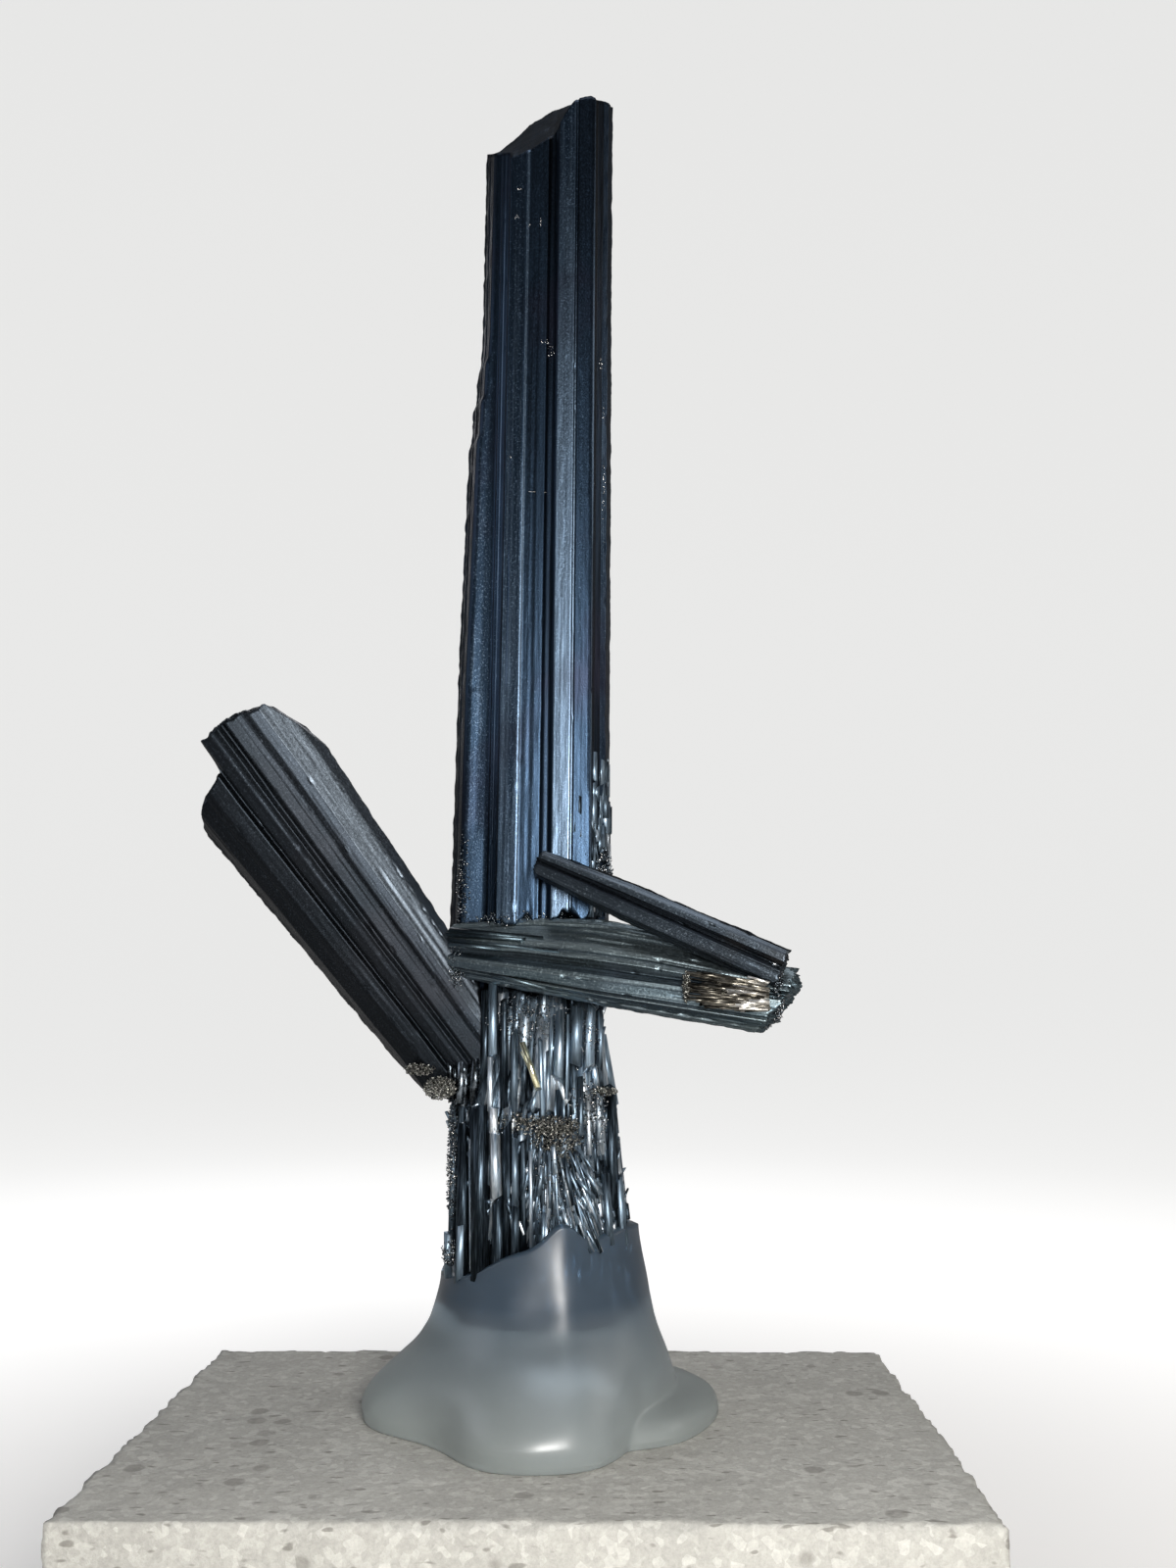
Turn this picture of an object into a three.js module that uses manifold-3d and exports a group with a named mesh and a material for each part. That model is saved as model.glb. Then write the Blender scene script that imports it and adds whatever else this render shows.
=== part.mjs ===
// Stibnite crystal spray: striated prisms on an etched stem of needles, set in resin on a stone block.
// Millimetres, +Z up. The origin is the middle of the block's underside, and -Y is the front.

import * as THREE from 'three';
import * as BufferGeometryUtils from 'three/addons/utils/BufferGeometryUtils.js';
import Module from 'manifold-3d';

const wasm = await Module();
wasm.setup();

// ---- Driving dimensions ----

const CONTACT_GAP = 0.3; // clear space between two pieces that touch

const BLOCK = { width: 60, depth: 41, height: 20, cells: [14, 10, 4], chip: 0.55 };

// The resin is a column round the stem that opens into a skirt below columnShare of its height.
const RESIN = { sides: 44, levels: 9, columnShare: 0.72, edgeRoll: 0.05 };

const STEM = {
  centre: [-0.3, 2.0],
  halfWidth: 4.6,
  halfDepth: 4.3,
  foot: 27,
  footScale: 1.5,
  splayStart: 44,
  top: 51.9,
  needles: 19,
};

const TALL = { foot: [-0.4, 0, 52.7], tip: [0.25, 0, 123.2], footScale: 1.03, rows: 12 };
const LEANING = { foot: [-8.12, 0, 50.04], tip: [-21.6, -5, 68.34], footScale: 0.8, rows: 4 };
const LOWER_CROSS = { foot: [-7.3, -0.8, 55.4], tip: [18.3, -7.2, 52.0], rows: 8 };
const UPPER_CROSS = { foot: [0.6, -4.6, 62.1], tip: [18.1, -9.3, 54.1], rows: 4 };

// ---- Outlines: corners of each prism's section, seen down its axis, x to the right, y to the back ----

const TALL_OUTLINE = [
  [-5.6, 1.9], [-5.0, -0.2], [-3.9, -1.7], [-3.3, -1.9], [-3.15, -2.35], [-1.25, -2.9],
  [-1.1, -2.65], [0.15, -2.75], [0.55, -1.9], [0.95, -2.0], [1.15, -3.0], [2.75, -3.1],
  [3.1, -2.6], [4.1, -2.2], [4.6, -1.3], [5.1, -1.0], [5.6, 0.3], [5.55, 1.7],
  [5.1, 2.6], [5.25, 4.1], [4.0, 5.6], [2.6, 5.9], [2.2, 6.6], [0.4, 6.9],
  [-0.1, 6.3], [-1.8, 6.6], [-3.6, 5.4], [-4.4, 5.2], [-5.3, 3.7], [-5.15, 2.9],
];

const LEANING_OUTLINE = [
  [-5.85, 0.6], [-4.9, -1.6], [-3.2, -2.9], [-1.9, -3.2], [-1.6, -2.7], [-1.3, -3.4],
  [0.2, -4.1], [0.6, -3.7], [1.0, -4.0], [2.3, -3.8], [2.7, -3.3], [3.4, -3.2],
  [5.1, -1.5], [5.85, -0.6], [5.7, 1.0], [4.4, 3.2], [2.4, 3.9], [1.9, 3.5],
  [-0.3, 4.0], [-1.3, 3.6], [-1.6, 3.3], [-2.4, 3.3], [-2.8, 2.8], [-4.8, 2.6], [-5.7, 1.6],
];

// On the two crystals that cross the front, x is down and y is to the back.
const LOWER_CROSS_OUTLINE = [
  [-3.2, 1.0], [-3.1, -0.4], [-1.4, -2.3], [-0.7, -2.7], [-0.35, -2.3], [0.1, -2.9],
  [1.8, -3.0], [1.9, -2.75], [2.1, -2.8], [3.2, -1.4], [3.1, 0.8], [2.2, 2.4],
  [0.6, 2.9], [0.2, 2.5], [-1.3, 2.8], [-2.6, 2.1],
];

const UPPER_CROSS_OUTLINE = [
  [-1.6, 0.2], [-1.3, -0.9], [-0.7, -1.3], [-0.3, -0.9], [0.3, -1.3], [1.2, -1.0],
  [1.6, 0.1], [1.1, 1.1], [0.0, 1.35], [-1.0, 1.1],
];

// ---- End faces, as height along the axis at each place across the section ----

// The tall crystal's broken top is a hollow slope, low in front and high at the back.
const TALL_TOP_FRONT = [
  [-5, 0.2], [-3, 0], [-0.9, 1.0], [0.6, 2.0], [1.6, 4.0], [2.3, 5.0], [3.7, 5.5], [5.5, 5.2],
];
const TALL_TOP_BACK = [
  [-5, 6.2], [-3.5, 7.7], [-2.1, 9.2], [0.1, 10.6], [2.2, 11.2], [3.7, 11.3], [5.5, 9.8],
];
const TALL_TOP_DEPTHS = [-2.6, 6.4]; // y of the front rim and of the back rim

const LEANING_TOP = [
  [-5.9, 0], [-4.7, 1.2], [-3.5, 1.9], [-2.4, 2.3], [-1.6, 2.7], [-1.3, 5.5],
  [2.0, 5.5], [4.1, 4.8], [5.2, 2.3], [5.9, -0.8],
];
const LEANING_FOOT = [
  [-5.9, 0], [-5.2, -3.2], [-2.4, -4.2], [0.1, -3.6], [2.1, -4.2], [3.6, -1.5], [5.5, 1.0], [5.9, 2.5],
];

const LOWER_CROSS_END = [[-3.2, 0.7], [-1, 0.9], [0.6, 0.2], [2, -0.5], [3.2, -1.6]];
const LOWER_CROSS_START = [[-3.2, 0.2], [0.8, -0.1], [1.6, 0.2], [3.2, 1.8]];
const UPPER_CROSS_START = [[-1.6, -0.4], [-0.4, -0.8], [1.6, -0.5]];

// ---- Growth along the axis: share of the way up, and size there ----

// The lower cross crystal bulges upwards in the middle, and its underside stays straight.
const LOWER_CROSS_RISE = [[0, 0.78], [0.25, 1.2], [0.45, 1.34], [0.62, 1.26], [1, 0.76]];
const LOWER_CROSS_DROP = [[0, 0.5], [0.5, 0.74], [1, 0.88]];
const LOWER_CROSS_DEPTH = [[0, 0.75], [0.5, 1.0], [1, 0.92]];
const UPPER_CROSS_GROWTH = [[0, 0.72], [0.35, 0.95], [1, 1.0]];

// The tall crystal's left side steps out below a growth ledge: height over the foot, and how far.
const LEFT_LEDGE = [[0, 1.5], [25, 1.3], [44, 0.95], [48, 0.75], [52, 0.35], [56, 0], [100, 0]];
const LEFT_LEDGE_EDGE = -3.9; // only the section left of this x steps out

// ---- Resin: outline of its foot on the block, and height of its rim round the stem ----

const RESIN_FOOT = [
  [1.2, -12.3], [4.4, -11.5], [6.3, -8.4], [10.4, -5.9], [13.3, -1.8], [14.7, 4.0],
  [12.6, 9.0], [7.0, 11.6], [0, 12.2], [-7.0, 11.0], [-12.2, 7.6], [-13.7, 2.6],
  [-11.9, -2.6], [-7.4, -6.2], [-4.2, -10.8],
];
const RESIN_COLUMN = { centre: [-0.1, 2.0], halfWidth: 8.2, halfDepth: 8.0 };
const RESIN_RIM = [
  [-180, 30.6], [-150, 30.9], [-120, 32.2], [-95, 33.4], [-78, 35.4], [-60, 34.0],
  [-30, 34.6], [0, 34.2], [60, 33.4], [120, 32.6], [180, 30.6],
];

// ---- Finishes ----

const darkCrystal = new THREE.MeshStandardMaterial({ color: 0x1d2733, roughness: 0.32, metalness: 0.55 });
const greyCrystal = new THREE.MeshStandardMaterial({ color: 0x39444b, roughness: 0.4, metalness: 0.5 });
const needleMetal = new THREE.MeshStandardMaterial({ color: 0x2b3743, roughness: 0.25, metalness: 0.65 });
const bronzeFibre = new THREE.MeshStandardMaterial({ color: 0x7a705a, roughness: 0.35, metalness: 0.5 });
const paleSplinter = new THREE.MeshStandardMaterial({ color: 0xc9c39a, roughness: 0.3, metalness: 0.3 });
const frostedResin = new THREE.MeshStandardMaterial({ color: 0x86908c, roughness: 0.35, metalness: 0 });
const paleStone = new THREE.MeshStandardMaterial({ color: 0xb9b2a6, roughness: 0.9, metalness: 0 });

// ---- Small tools ----

// A repeatable number from 0 to 1 for each pair of whole numbers.
function scatter(a, b = 0) {
  const wave = Math.sin(a * 12.9898 + b * 78.233) * 43758.5453;
  return wave - Math.floor(wave);
}

// Straight-line reading of a list of [place, value] pairs, level beyond its ends.
function reading(table, place) {
  if (place <= table[0][0]) return table[0][1];
  for (let i = 1; i < table.length; i += 1) {
    const [fromPlace, fromValue] = table[i - 1];
    const [toPlace, toValue] = table[i];
    if (place <= toPlace) {
      return THREE.MathUtils.mapLinear(place, fromPlace, toPlace, fromValue, toValue);
    }
  }
  return table[table.length - 1][1];
}

// Moves every corner of a geometry by a function of its position.
function reshape(geometry, move) {
  const corners = geometry.attributes.position;
  const point = new THREE.Vector3();
  for (let i = 0; i < corners.count; i += 1) {
    point.fromBufferAttribute(corners, i);
    move(point);
    corners.setXYZ(i, point.x, point.y, point.z);
  }
  return geometry;
}

function toSolid(geometry) {
  const bare = geometry.clone();
  bare.deleteAttribute('normal');
  bare.deleteAttribute('uv');
  const merged = BufferGeometryUtils.mergeVertices(bare, 1e-5);
  return new wasm.Manifold(new wasm.Mesh({
    numProp: 3,
    vertProperties: new Float32Array(merged.attributes.position.array),
    triVerts: new Uint32Array(merged.index.array),
  }));
}

function toGeometry(solid) {
  const mesh = solid.getMesh();
  const geometry = new THREE.BufferGeometry();
  geometry.setAttribute('position', new THREE.BufferAttribute(new Float32Array(mesh.vertProperties), 3));
  geometry.setIndex(new THREE.BufferAttribute(new Uint32Array(mesh.triVerts), 1));
  geometry.computeVertexNormals();
  return geometry;
}

// The turn and shift that carry a prism's own frame (z along its axis, y to the back) to its place.
function axisFrame(foot, tip) {
  const origin = new THREE.Vector3(...foot);
  const along = new THREE.Vector3(...tip).sub(origin).normalize();
  const across = new THREE.Vector3(0, 1, 0).cross(along).normalize();
  const back = along.clone().cross(across);
  return new THREE.Matrix4().makeBasis(across, back, along).setPosition(origin);
}

// A crystal: its outline carried from foot to tip in rows, sized by growth and ended by start and end.
function crystal({
  outline, foot, tip, rows = 1, spare = 0,
  growth = () => 1, depthGrowth = growth, start = () => 0, end = () => 0, shift = () => 0,
}) {
  const length = new THREE.Vector3(...tip).distanceTo(new THREE.Vector3(...foot));
  const section = new THREE.Shape(outline.map(([x, y]) => new THREE.Vector2(x, y)));
  const geometry = new THREE.ExtrudeGeometry(section, { depth: length, steps: rows, bevelEnabled: false });
  reshape(geometry, (point) => {
    const { x, y } = point;
    const share = point.z / length;
    const out = 1 + spare / Math.hypot(x, y);
    const low = start(x, y) - spare;
    const high = length + end(x, y) + spare;
    point.z = THREE.MathUtils.lerp(low, high, share);
    point.x = (x * out + shift(x, point.z)) * growth(share, x);
    point.y = y * out * depthGrowth(share, x);
  });
  return toSolid(geometry.applyMatrix4(axisFrame(foot, tip)));
}

// A six-sided needle with a slanted tip, between two points. Spare makes it larger all round.
function needle({ foot, tip, width, seed, spare = 0 }) {
  const sides = 6;
  const outline = [];
  for (let i = 0; i < sides; i += 1) {
    const angle = (i + 0.6 * scatter(seed, i)) * (2 * Math.PI / sides);
    const reach = width * (0.42 + 0.16 * scatter(seed, i + sides));
    outline.push([reach * Math.cos(angle), reach * Math.sin(angle)]);
  }
  const slant = 0.8 * (scatter(seed, 31) - 0.5);
  return crystal({ outline, foot, tip, end: (x, y) => slant * (x + y), spare });
}

// ---- Crystals ----

function tallTop(x, y) {
  const [frontY, levelY] = TALL_TOP_DEPTHS;
  const share = THREE.MathUtils.clamp((y - frontY) / (levelY - frontY), 0, 1);
  return THREE.MathUtils.lerp(reading(TALL_TOP_FRONT, x), reading(TALL_TOP_BACK, x), share);
}

function leftLedge(x, height) {
  return x < LEFT_LEDGE_EDGE ? -reading(LEFT_LEDGE, height) : 0;
}

function tallPrism(spare) {
  return crystal({
    ...TALL,
    outline: TALL_OUTLINE,
    growth: (share) => THREE.MathUtils.lerp(TALL.footScale, 1, share),
    end: tallTop,
    shift: leftLedge,
    spare,
  });
}

function leaningPrism() {
  return crystal({
    ...LEANING,
    outline: LEANING_OUTLINE,
    growth: (share) => THREE.MathUtils.lerp(LEANING.footScale, 1, share),
    start: (x) => reading(LEANING_FOOT, x),
    end: (x) => reading(LEANING_TOP, x),
  });
}

function lowerCross(spare) {
  return crystal({
    ...LOWER_CROSS,
    outline: LOWER_CROSS_OUTLINE,
    growth: (share, x) => reading(x < 0 ? LOWER_CROSS_RISE : LOWER_CROSS_DROP, share),
    depthGrowth: (share) => reading(LOWER_CROSS_DEPTH, share),
    start: (x) => reading(LOWER_CROSS_START, x),
    end: (x, y) => reading(LOWER_CROSS_END, x) + 0.5 * (scatter(x, y) - 0.5),
    spare,
  });
}

function upperCross(spare) {
  return crystal({
    ...UPPER_CROSS,
    outline: UPPER_CROSS_OUTLINE,
    growth: (share) => reading(UPPER_CROSS_GROWTH, share),
    start: (x) => reading(UPPER_CROSS_START, x),
    end: (x, y) => 0.5 * (scatter(x, y) - 0.5),
    spare,
  });
}

// ---- Stem ----

// The bundle is a core with a ring of needles sunk into it. Each needle splays outwards below the
// shoulder, and starts and stops at a height of its own. Spare makes room for the bundle in the resin.
function stemBundle(spare) {
  const [cx, cy] = STEM.centre;
  const coreSides = 14;
  const coreOutline = [];
  for (let i = 0; i < coreSides; i += 1) {
    const angle = (i / coreSides) * 2 * Math.PI;
    const reach = i % 2 || spare ? 0.95 : 0.84;
    coreOutline.push([STEM.halfWidth * reach * Math.cos(angle), STEM.halfDepth * reach * Math.sin(angle)]);
  }
  let bundle = crystal({
    outline: coreOutline,
    foot: [cx, cy, STEM.foot],
    tip: [cx, cy, STEM.top - 0.4],
    growth: (share) => THREE.MathUtils.lerp(STEM.footScale, 1, share),
    spare,
  });
  for (let i = 0; i < STEM.needles; i += 1) {
    const angle = ((i + 0.5 * scatter(i, 1)) / STEM.needles) * 2 * Math.PI;
    const side = [Math.cos(angle), Math.sin(angle)];
    const topReach = 0.86 + 0.1 * scatter(i, 2);
    const footReach = 1.42 + 0.08 * scatter(i, 3);
    const at = (reach, height) => [
      cx + side[0] * STEM.halfWidth * reach,
      cy + side[1] * STEM.halfDepth * reach,
      height,
    ];
    const waist = STEM.splayStart + 3 * (scatter(i, 4) - 0.5);
    const tip = STEM.top - 4 * scatter(i, 5) ** 2;
    const upper = { foot: at(topReach, waist - 2.5), tip: at(topReach, tip), width: 1.9 };
    const lower = { foot: at(footReach, STEM.foot + 1), tip: at(topReach + 0.12, waist), width: 2.3 };
    bundle = bundle.add(needle({ ...upper, seed: i, spare }));
    bundle = bundle.add(needle({ ...lower, seed: i + 50, spare }));
  }
  return bundle.add(stemFlanks(spare));
}

// Groups of needles that stand out of the bundle: the left flank, the right flank under its ledge,
// and the etched cluster at the upper right.
function stemFlanks(spare) {
  const flanks = [
    { foot: [-6.9, 1.0, 29.0], tip: [-6.4, 1.2, 43.8], width: 2.0 },
    { foot: [-7.2, 2.8, 29.0], tip: [-6.2, 2.6, 42.6], width: 2.2 },
    { foot: [-5.6, -0.9, 28.5], tip: [-5.2, -0.4, 43.0], width: 2.2 },
    { foot: [6.5, 1.4, 29.0], tip: [4.9, 1.6, 45.0], width: 2.1 },
    { foot: [6.6, 3.4, 29.0], tip: [4.8, 3.3, 44.4], width: 2.2 },
    { foot: [5.2, -1.0, 29.0], tip: [4.1, -0.6, 44.7], width: 2.3 },
    { foot: [3.6, -1.7, 46.6], tip: [3.4, -1.7, 51.6], width: 2.6 },
    { foot: [-3.6, -2.0, 37.5], tip: [-3.4, -1.9, 47.2], width: 1.7 },
    { foot: [-1.4, -3.3, 31.0], tip: [-1.3, -2.6, 41.0], width: 1.8 },
  ];
  const parts = flanks.map((flank, i) => needle({ ...flank, seed: i + 100, spare }));
  return parts.reduce((whole, part) => whole.add(part));
}

function buildBrightNeedle() {
  const outline = [[-0.38, -0.3], [0.36, -0.34], [0.42, 0.1], [0.05, 0.32], [-0.36, 0.2]];
  return crystal({
    outline,
    foot: [-0.2, -4.5, 45.2],
    tip: [-1.45, -4.3, 48.6],
    growth: (share) => THREE.MathUtils.lerp(0.75, 1, share),
    end: (x) => -0.6 * x,
  });
}

// Fibres lying side by side along the lower cross crystal, in the break in its front.
function buildBronzeSplinters() {
  const fibres = 6;
  const spacing = 0.48;
  let bundle = null;
  for (let i = 0; i < fibres; i += 1) {
    const drop = (i - (fibres - 1) / 2) * spacing;
    const foot = [10.9 + 0.4 * scatter(i, 9), -9.1, 52.8 - drop];
    const tip = [16.6 + 0.5 * scatter(i, 8), -10.5, 52.2 - 0.8 * drop];
    const fibre = needle({ foot, tip, width: 0.8, seed: i + 200 });
    bundle = bundle ? bundle.add(fibre) : fibre;
  }
  return bundle;
}

// ---- Mount ----

function buildStoneBlock() {
  const { width, depth, height, cells, chip } = BLOCK;
  const geometry = new THREE.BoxGeometry(width, depth, height, ...cells);
  return reshape(geometry, (point) => {
    const onSide = Math.abs(Math.abs(point.x) - width / 2) < 1e-3;
    const onEnd = Math.abs(Math.abs(point.y) - depth / 2) < 1e-3;
    const onTop = point.z > height / 2 - 1e-3;
    const faces = [onSide, onEnd, onTop].filter(Boolean).length;
    const corner = Math.round(point.x * 7 + point.y * 13 + point.z * 29);
    if (faces > 1) {
      if (onSide) point.x -= Math.sign(point.x) * chip * scatter(corner, 1);
      if (onEnd) point.y -= Math.sign(point.y) * chip * scatter(corner, 2);
      if (onTop) point.z -= chip * scatter(corner, 3);
    }
    point.z += height / 2;
  });
}

// The resin's skin: a closed surface lofted from the foot outline up to the rim round the stem.
function resinSkin() {
  const { sides, levels, columnShare, edgeRoll } = RESIN;
  const { centre, halfWidth, halfDepth } = RESIN_COLUMN;
  const footLine = new THREE.CatmullRomCurve3(
    RESIN_FOOT.map(([x, y]) => new THREE.Vector3(x, y, 0)), true, 'centripetal');
  const ring = new THREE.CylinderGeometry(1, 1, 1, sides, levels, false);
  ring.rotateX(Math.PI / 2);
  return reshape(ring, (point) => {
    const share = point.z + 0.5;
    const reach = Math.hypot(point.x, point.y);
    if (reach < 1e-6) {
      point.set(centre[0], centre[1], share > 0.5 ? RESIN_RIM[3][1] : BLOCK.height + CONTACT_GAP);
      return;
    }
    const angle = Math.atan2(point.y, point.x);
    const turn = THREE.MathUtils.euclideanModulo(angle / (2 * Math.PI) + 0.25, 1);
    const foot = footLine.getPointAt(turn);
    const column = [
      centre[0] + halfWidth * Math.cos(angle),
      centre[1] + halfDepth * Math.sin(angle),
    ];
    const skirt = 1 - THREE.MathUtils.smoothstep(share, 0, columnShare);
    const open = share < 1e-6 ? skirt - edgeRoll : skirt;
    const rim = reading(RESIN_RIM, THREE.MathUtils.radToDeg(angle));
    point.x = THREE.MathUtils.lerp(column[0], foot.x, open);
    point.y = THREE.MathUtils.lerp(column[1], foot.y, open);
    point.z = THREE.MathUtils.lerp(BLOCK.height + CONTACT_GAP, rim, share);
  });
}

// ---- Scene graph ----

function piece(name, shape, material) {
  const geometry = shape.isBufferGeometry ? shape : toGeometry(shape);
  const mesh = new THREE.Mesh(geometry, material);
  mesh.name = name;
  return mesh;
}

// Where two pieces meet, one is cut back to the other's shape with the contact gap all round.
const lowerRoom = lowerCross(CONTACT_GAP);
const tallRoom = tallPrism(CONTACT_GAP);
const stemRoom = stemBundle(CONTACT_GAP);

const stem = stemBundle(0).subtract(lowerRoom);
const tallCrystal = tallPrism(0).subtract(lowerRoom);
const leaningCrystal = leaningPrism().subtract(lowerRoom).subtract(tallRoom).subtract(stemRoom);
const upperCrystal = upperCross(0).subtract(lowerRoom).subtract(tallRoom);
const resin = toSolid(resinSkin()).subtract(stemRoom);

const spray = new THREE.Group();
spray.add(
  piece('stone_block', buildStoneBlock(), paleStone),
  piece('resin_mount', resin, frostedResin),
  piece('needle_stem', stem, needleMetal),
  piece('tall_crystal', tallCrystal, darkCrystal),
  piece('leaning_crystal', leaningCrystal, darkCrystal),
  piece('lower_cross_crystal', lowerCross(0), greyCrystal),
  piece('upper_cross_crystal', upperCrystal, darkCrystal),
  piece('bronze_splinters', buildBronzeSplinters(), bronzeFibre),
  piece('bright_needle', buildBrightNeedle(), paleSplinter),
);

export default spray;
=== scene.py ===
"""Looks of a stibnite crystal spray that stands in frosted resin on a small stone block.

Shapes are worked out in millimetres in the part's own frame (+Z up, -Y to the front, origin in the
middle of the block's underside) and become metres when a mesh is made.
"""

import logging
import math
from dataclasses import dataclass
from enum import Enum

import bpy
import numpy as np
from mathutils import Euler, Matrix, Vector


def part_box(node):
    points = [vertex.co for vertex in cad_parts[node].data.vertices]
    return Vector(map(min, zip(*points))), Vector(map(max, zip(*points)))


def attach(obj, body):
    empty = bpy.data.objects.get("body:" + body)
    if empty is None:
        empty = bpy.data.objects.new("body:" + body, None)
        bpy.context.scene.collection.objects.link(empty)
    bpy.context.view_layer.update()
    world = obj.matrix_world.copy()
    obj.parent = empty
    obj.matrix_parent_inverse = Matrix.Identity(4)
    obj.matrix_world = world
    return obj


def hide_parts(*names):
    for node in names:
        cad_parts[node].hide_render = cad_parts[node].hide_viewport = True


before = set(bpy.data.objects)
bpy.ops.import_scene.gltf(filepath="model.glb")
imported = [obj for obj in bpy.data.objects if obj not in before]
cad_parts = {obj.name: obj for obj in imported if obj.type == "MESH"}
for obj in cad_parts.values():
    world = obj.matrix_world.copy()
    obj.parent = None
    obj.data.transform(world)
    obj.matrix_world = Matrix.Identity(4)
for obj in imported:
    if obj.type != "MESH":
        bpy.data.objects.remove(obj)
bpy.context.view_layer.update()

log = logging.getLogger("crystal_spray")

MM = 0.001  # one millimetre in metres
UV_MM = 100.0  # millimetres of surface in one unit of a piece's UV map

Array = np.ndarray
Pair = tuple[float, float]
Table = tuple[Pair, ...]
Point = tuple[float, float, float]
Socket = bpy.types.NodeSocket
Tree = bpy.types.NodeTree


# ---------------------------------------------------------------- numbers and noise


def read_table(table: Table, place: Array | float) -> Array:
    """Reads a list of (place, value) pairs along straight lines, level beyond its ends.

    Args:
        table: Pairs in rising order of place.
        place: Where to read.

    Returns:
        The values there.
    """
    places, values = np.array(table).T
    return np.interp(place, places, values)


def smooth_step(low: float, high: float, value: Array) -> Array:
    """Rises from 0 at low to 1 at high as 3t^2 - 2t^3."""
    share = np.clip((value - low) / (high - low), 0, 1)
    return share * share * (3 - 2 * share)


def value_noise(points: Array, cell: float, seed: int) -> Array:
    """Smooth noise from -1 to 1: random numbers on a lattice, blended by 3t^2 - 2t^3 in each cell.

    Args:
        points: Places, one row each, of two or three coordinates.
        cell: Size of one lattice cell, in the units of the points.
        seed: Picks the random numbers.

    Returns:
        One number a row.
    """
    scaled = points / cell
    corner = np.floor(scaled).astype(np.int64)
    share = scaled - corner
    blend = share * share * (3 - 2 * share)
    total = np.zeros(len(points))
    axes = points.shape[1]
    primes = np.array([73856093, 19349663, 83492791][:axes])
    for corner_bits in range(2**axes):
        offset = np.array([(corner_bits >> axis) & 1 for axis in range(axes)])
        mixed = ((corner + offset) * primes).sum(1) + seed * 2654435761
        mixed = (mixed ^ (mixed >> 13)) * 1274126177 & 0x7FFFFFFF
        mixed = (mixed ^ (mixed >> 16)) & 0xFFFF
        weight = np.where(offset, blend, 1 - blend).prod(1)
        total += weight * (mixed / 32767.5 - 1)
    return total


def fractal_noise(points: Array, cell: float, seed: int, octaves: int = 3) -> Array:
    """Sum of value noises, each half the cell and half the height of the one before."""
    layers = [value_noise(points, cell / 2**i, seed + i) / 2**i for i in range(octaves)]
    return np.sum(layers, axis=0)


def unit(vectors: Array) -> Array:
    """Vectors of length 1 along the last axis."""
    return vectors / np.maximum(np.linalg.norm(vectors, axis=-1, keepdims=True), 1e-12)


# ---------------------------------------------------------------- meshes


@dataclass
class Surface:
    """Corners and faces of a piece while it is being put together, in millimetres.

    Each face has a tone, from 0 to 1, that its finish reads, and a UV place at each corner.
    """

    corners: Array
    faces: Array  # four corners a face, with the last one repeated on a triangle
    tones: Array
    places: Array | None = None  # UV of each face's four corners

    def joined(self, other: "Surface") -> "Surface":
        """This surface and another as one."""
        places = None
        if self.places is not None and other.places is not None:
            places = np.concatenate([self.places, other.places])
        return Surface(
            np.concatenate([self.corners, other.corners]),
            np.concatenate([self.faces, other.faces + len(self.corners)]),
            np.concatenate([self.tones, other.tones]),
            places,
        )

    def to_object(self, name: str) -> bpy.types.Object:
        """Makes the mesh object, with its place in its mesh.

        Args:
            name: Name of the piece.

        Returns:
            The object, linked into the scene.
        """
        is_triangle = self.faces[:, 2] == self.faces[:, 3]
        keep = np.ones(self.faces.shape, bool)
        keep[is_triangle, 3] = False
        sides = keep.sum(1)
        mesh = bpy.data.meshes.new(name)
        mesh.vertices.add(len(self.corners))
        mesh.vertices.foreach_set("co", (self.corners * MM).astype(np.float32).ravel())
        mesh.loops.add(int(sides.sum()))
        mesh.loops.foreach_set("vertex_index", self.faces[keep].astype(np.int32))
        mesh.polygons.add(len(self.faces))
        starts = np.concatenate([[0], np.cumsum(sides)[:-1]]).astype(np.int32)
        mesh.polygons.foreach_set("loop_start", starts)
        if self.places is not None:
            layer = mesh.uv_layers.new(name="surface_mm")
            layer.data.foreach_set("uv", (self.places[keep] / UV_MM).astype(np.float32).ravel())
        tone = mesh.attributes.new("tone", "FLOAT", "FACE")
        tone.data.foreach_set("value", self.tones.astype(np.float32))
        mesh.update(calc_edges=True)
        mesh.validate()
        piece = bpy.data.objects.new(name, mesh)
        bpy.context.scene.collection.objects.link(piece)
        return piece


def ring_faces(rows: int, columns: int, first: int = 0) -> Array:
    """Faces between stacked closed rings of corners, facing out where the rings rise.

    Args:
        rows: Number of rings.
        columns: Corners in each ring.
        first: Index of the first corner.

    Returns:
        Four corners a face, row by row.
    """
    lower = np.arange(rows - 1)[:, None] * columns
    here = np.arange(columns)[None, :]
    ahead = (here + 1) % columns
    faces = np.stack([lower + here, lower + ahead, lower + ahead + columns, lower + here + columns], -1)
    return faces.reshape(-1, 4) + first


def fan_faces(ring: Array, centre: int, upwards: bool) -> Array:
    """Triangles from a ring of corners to one centre corner.

    Args:
        ring: Indices of the ring's corners, counterclockwise from above.
        centre: Index of the corner in the middle.
        upwards: True if the faces look up.

    Returns:
        Four corners a face, with the last repeated.
    """
    ahead = np.roll(ring, -1)
    first, second = (ring, ahead) if upwards else (ahead, ring)
    middle = np.full(len(ring), centre)
    return np.stack([first, second, middle, middle], -1)


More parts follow.
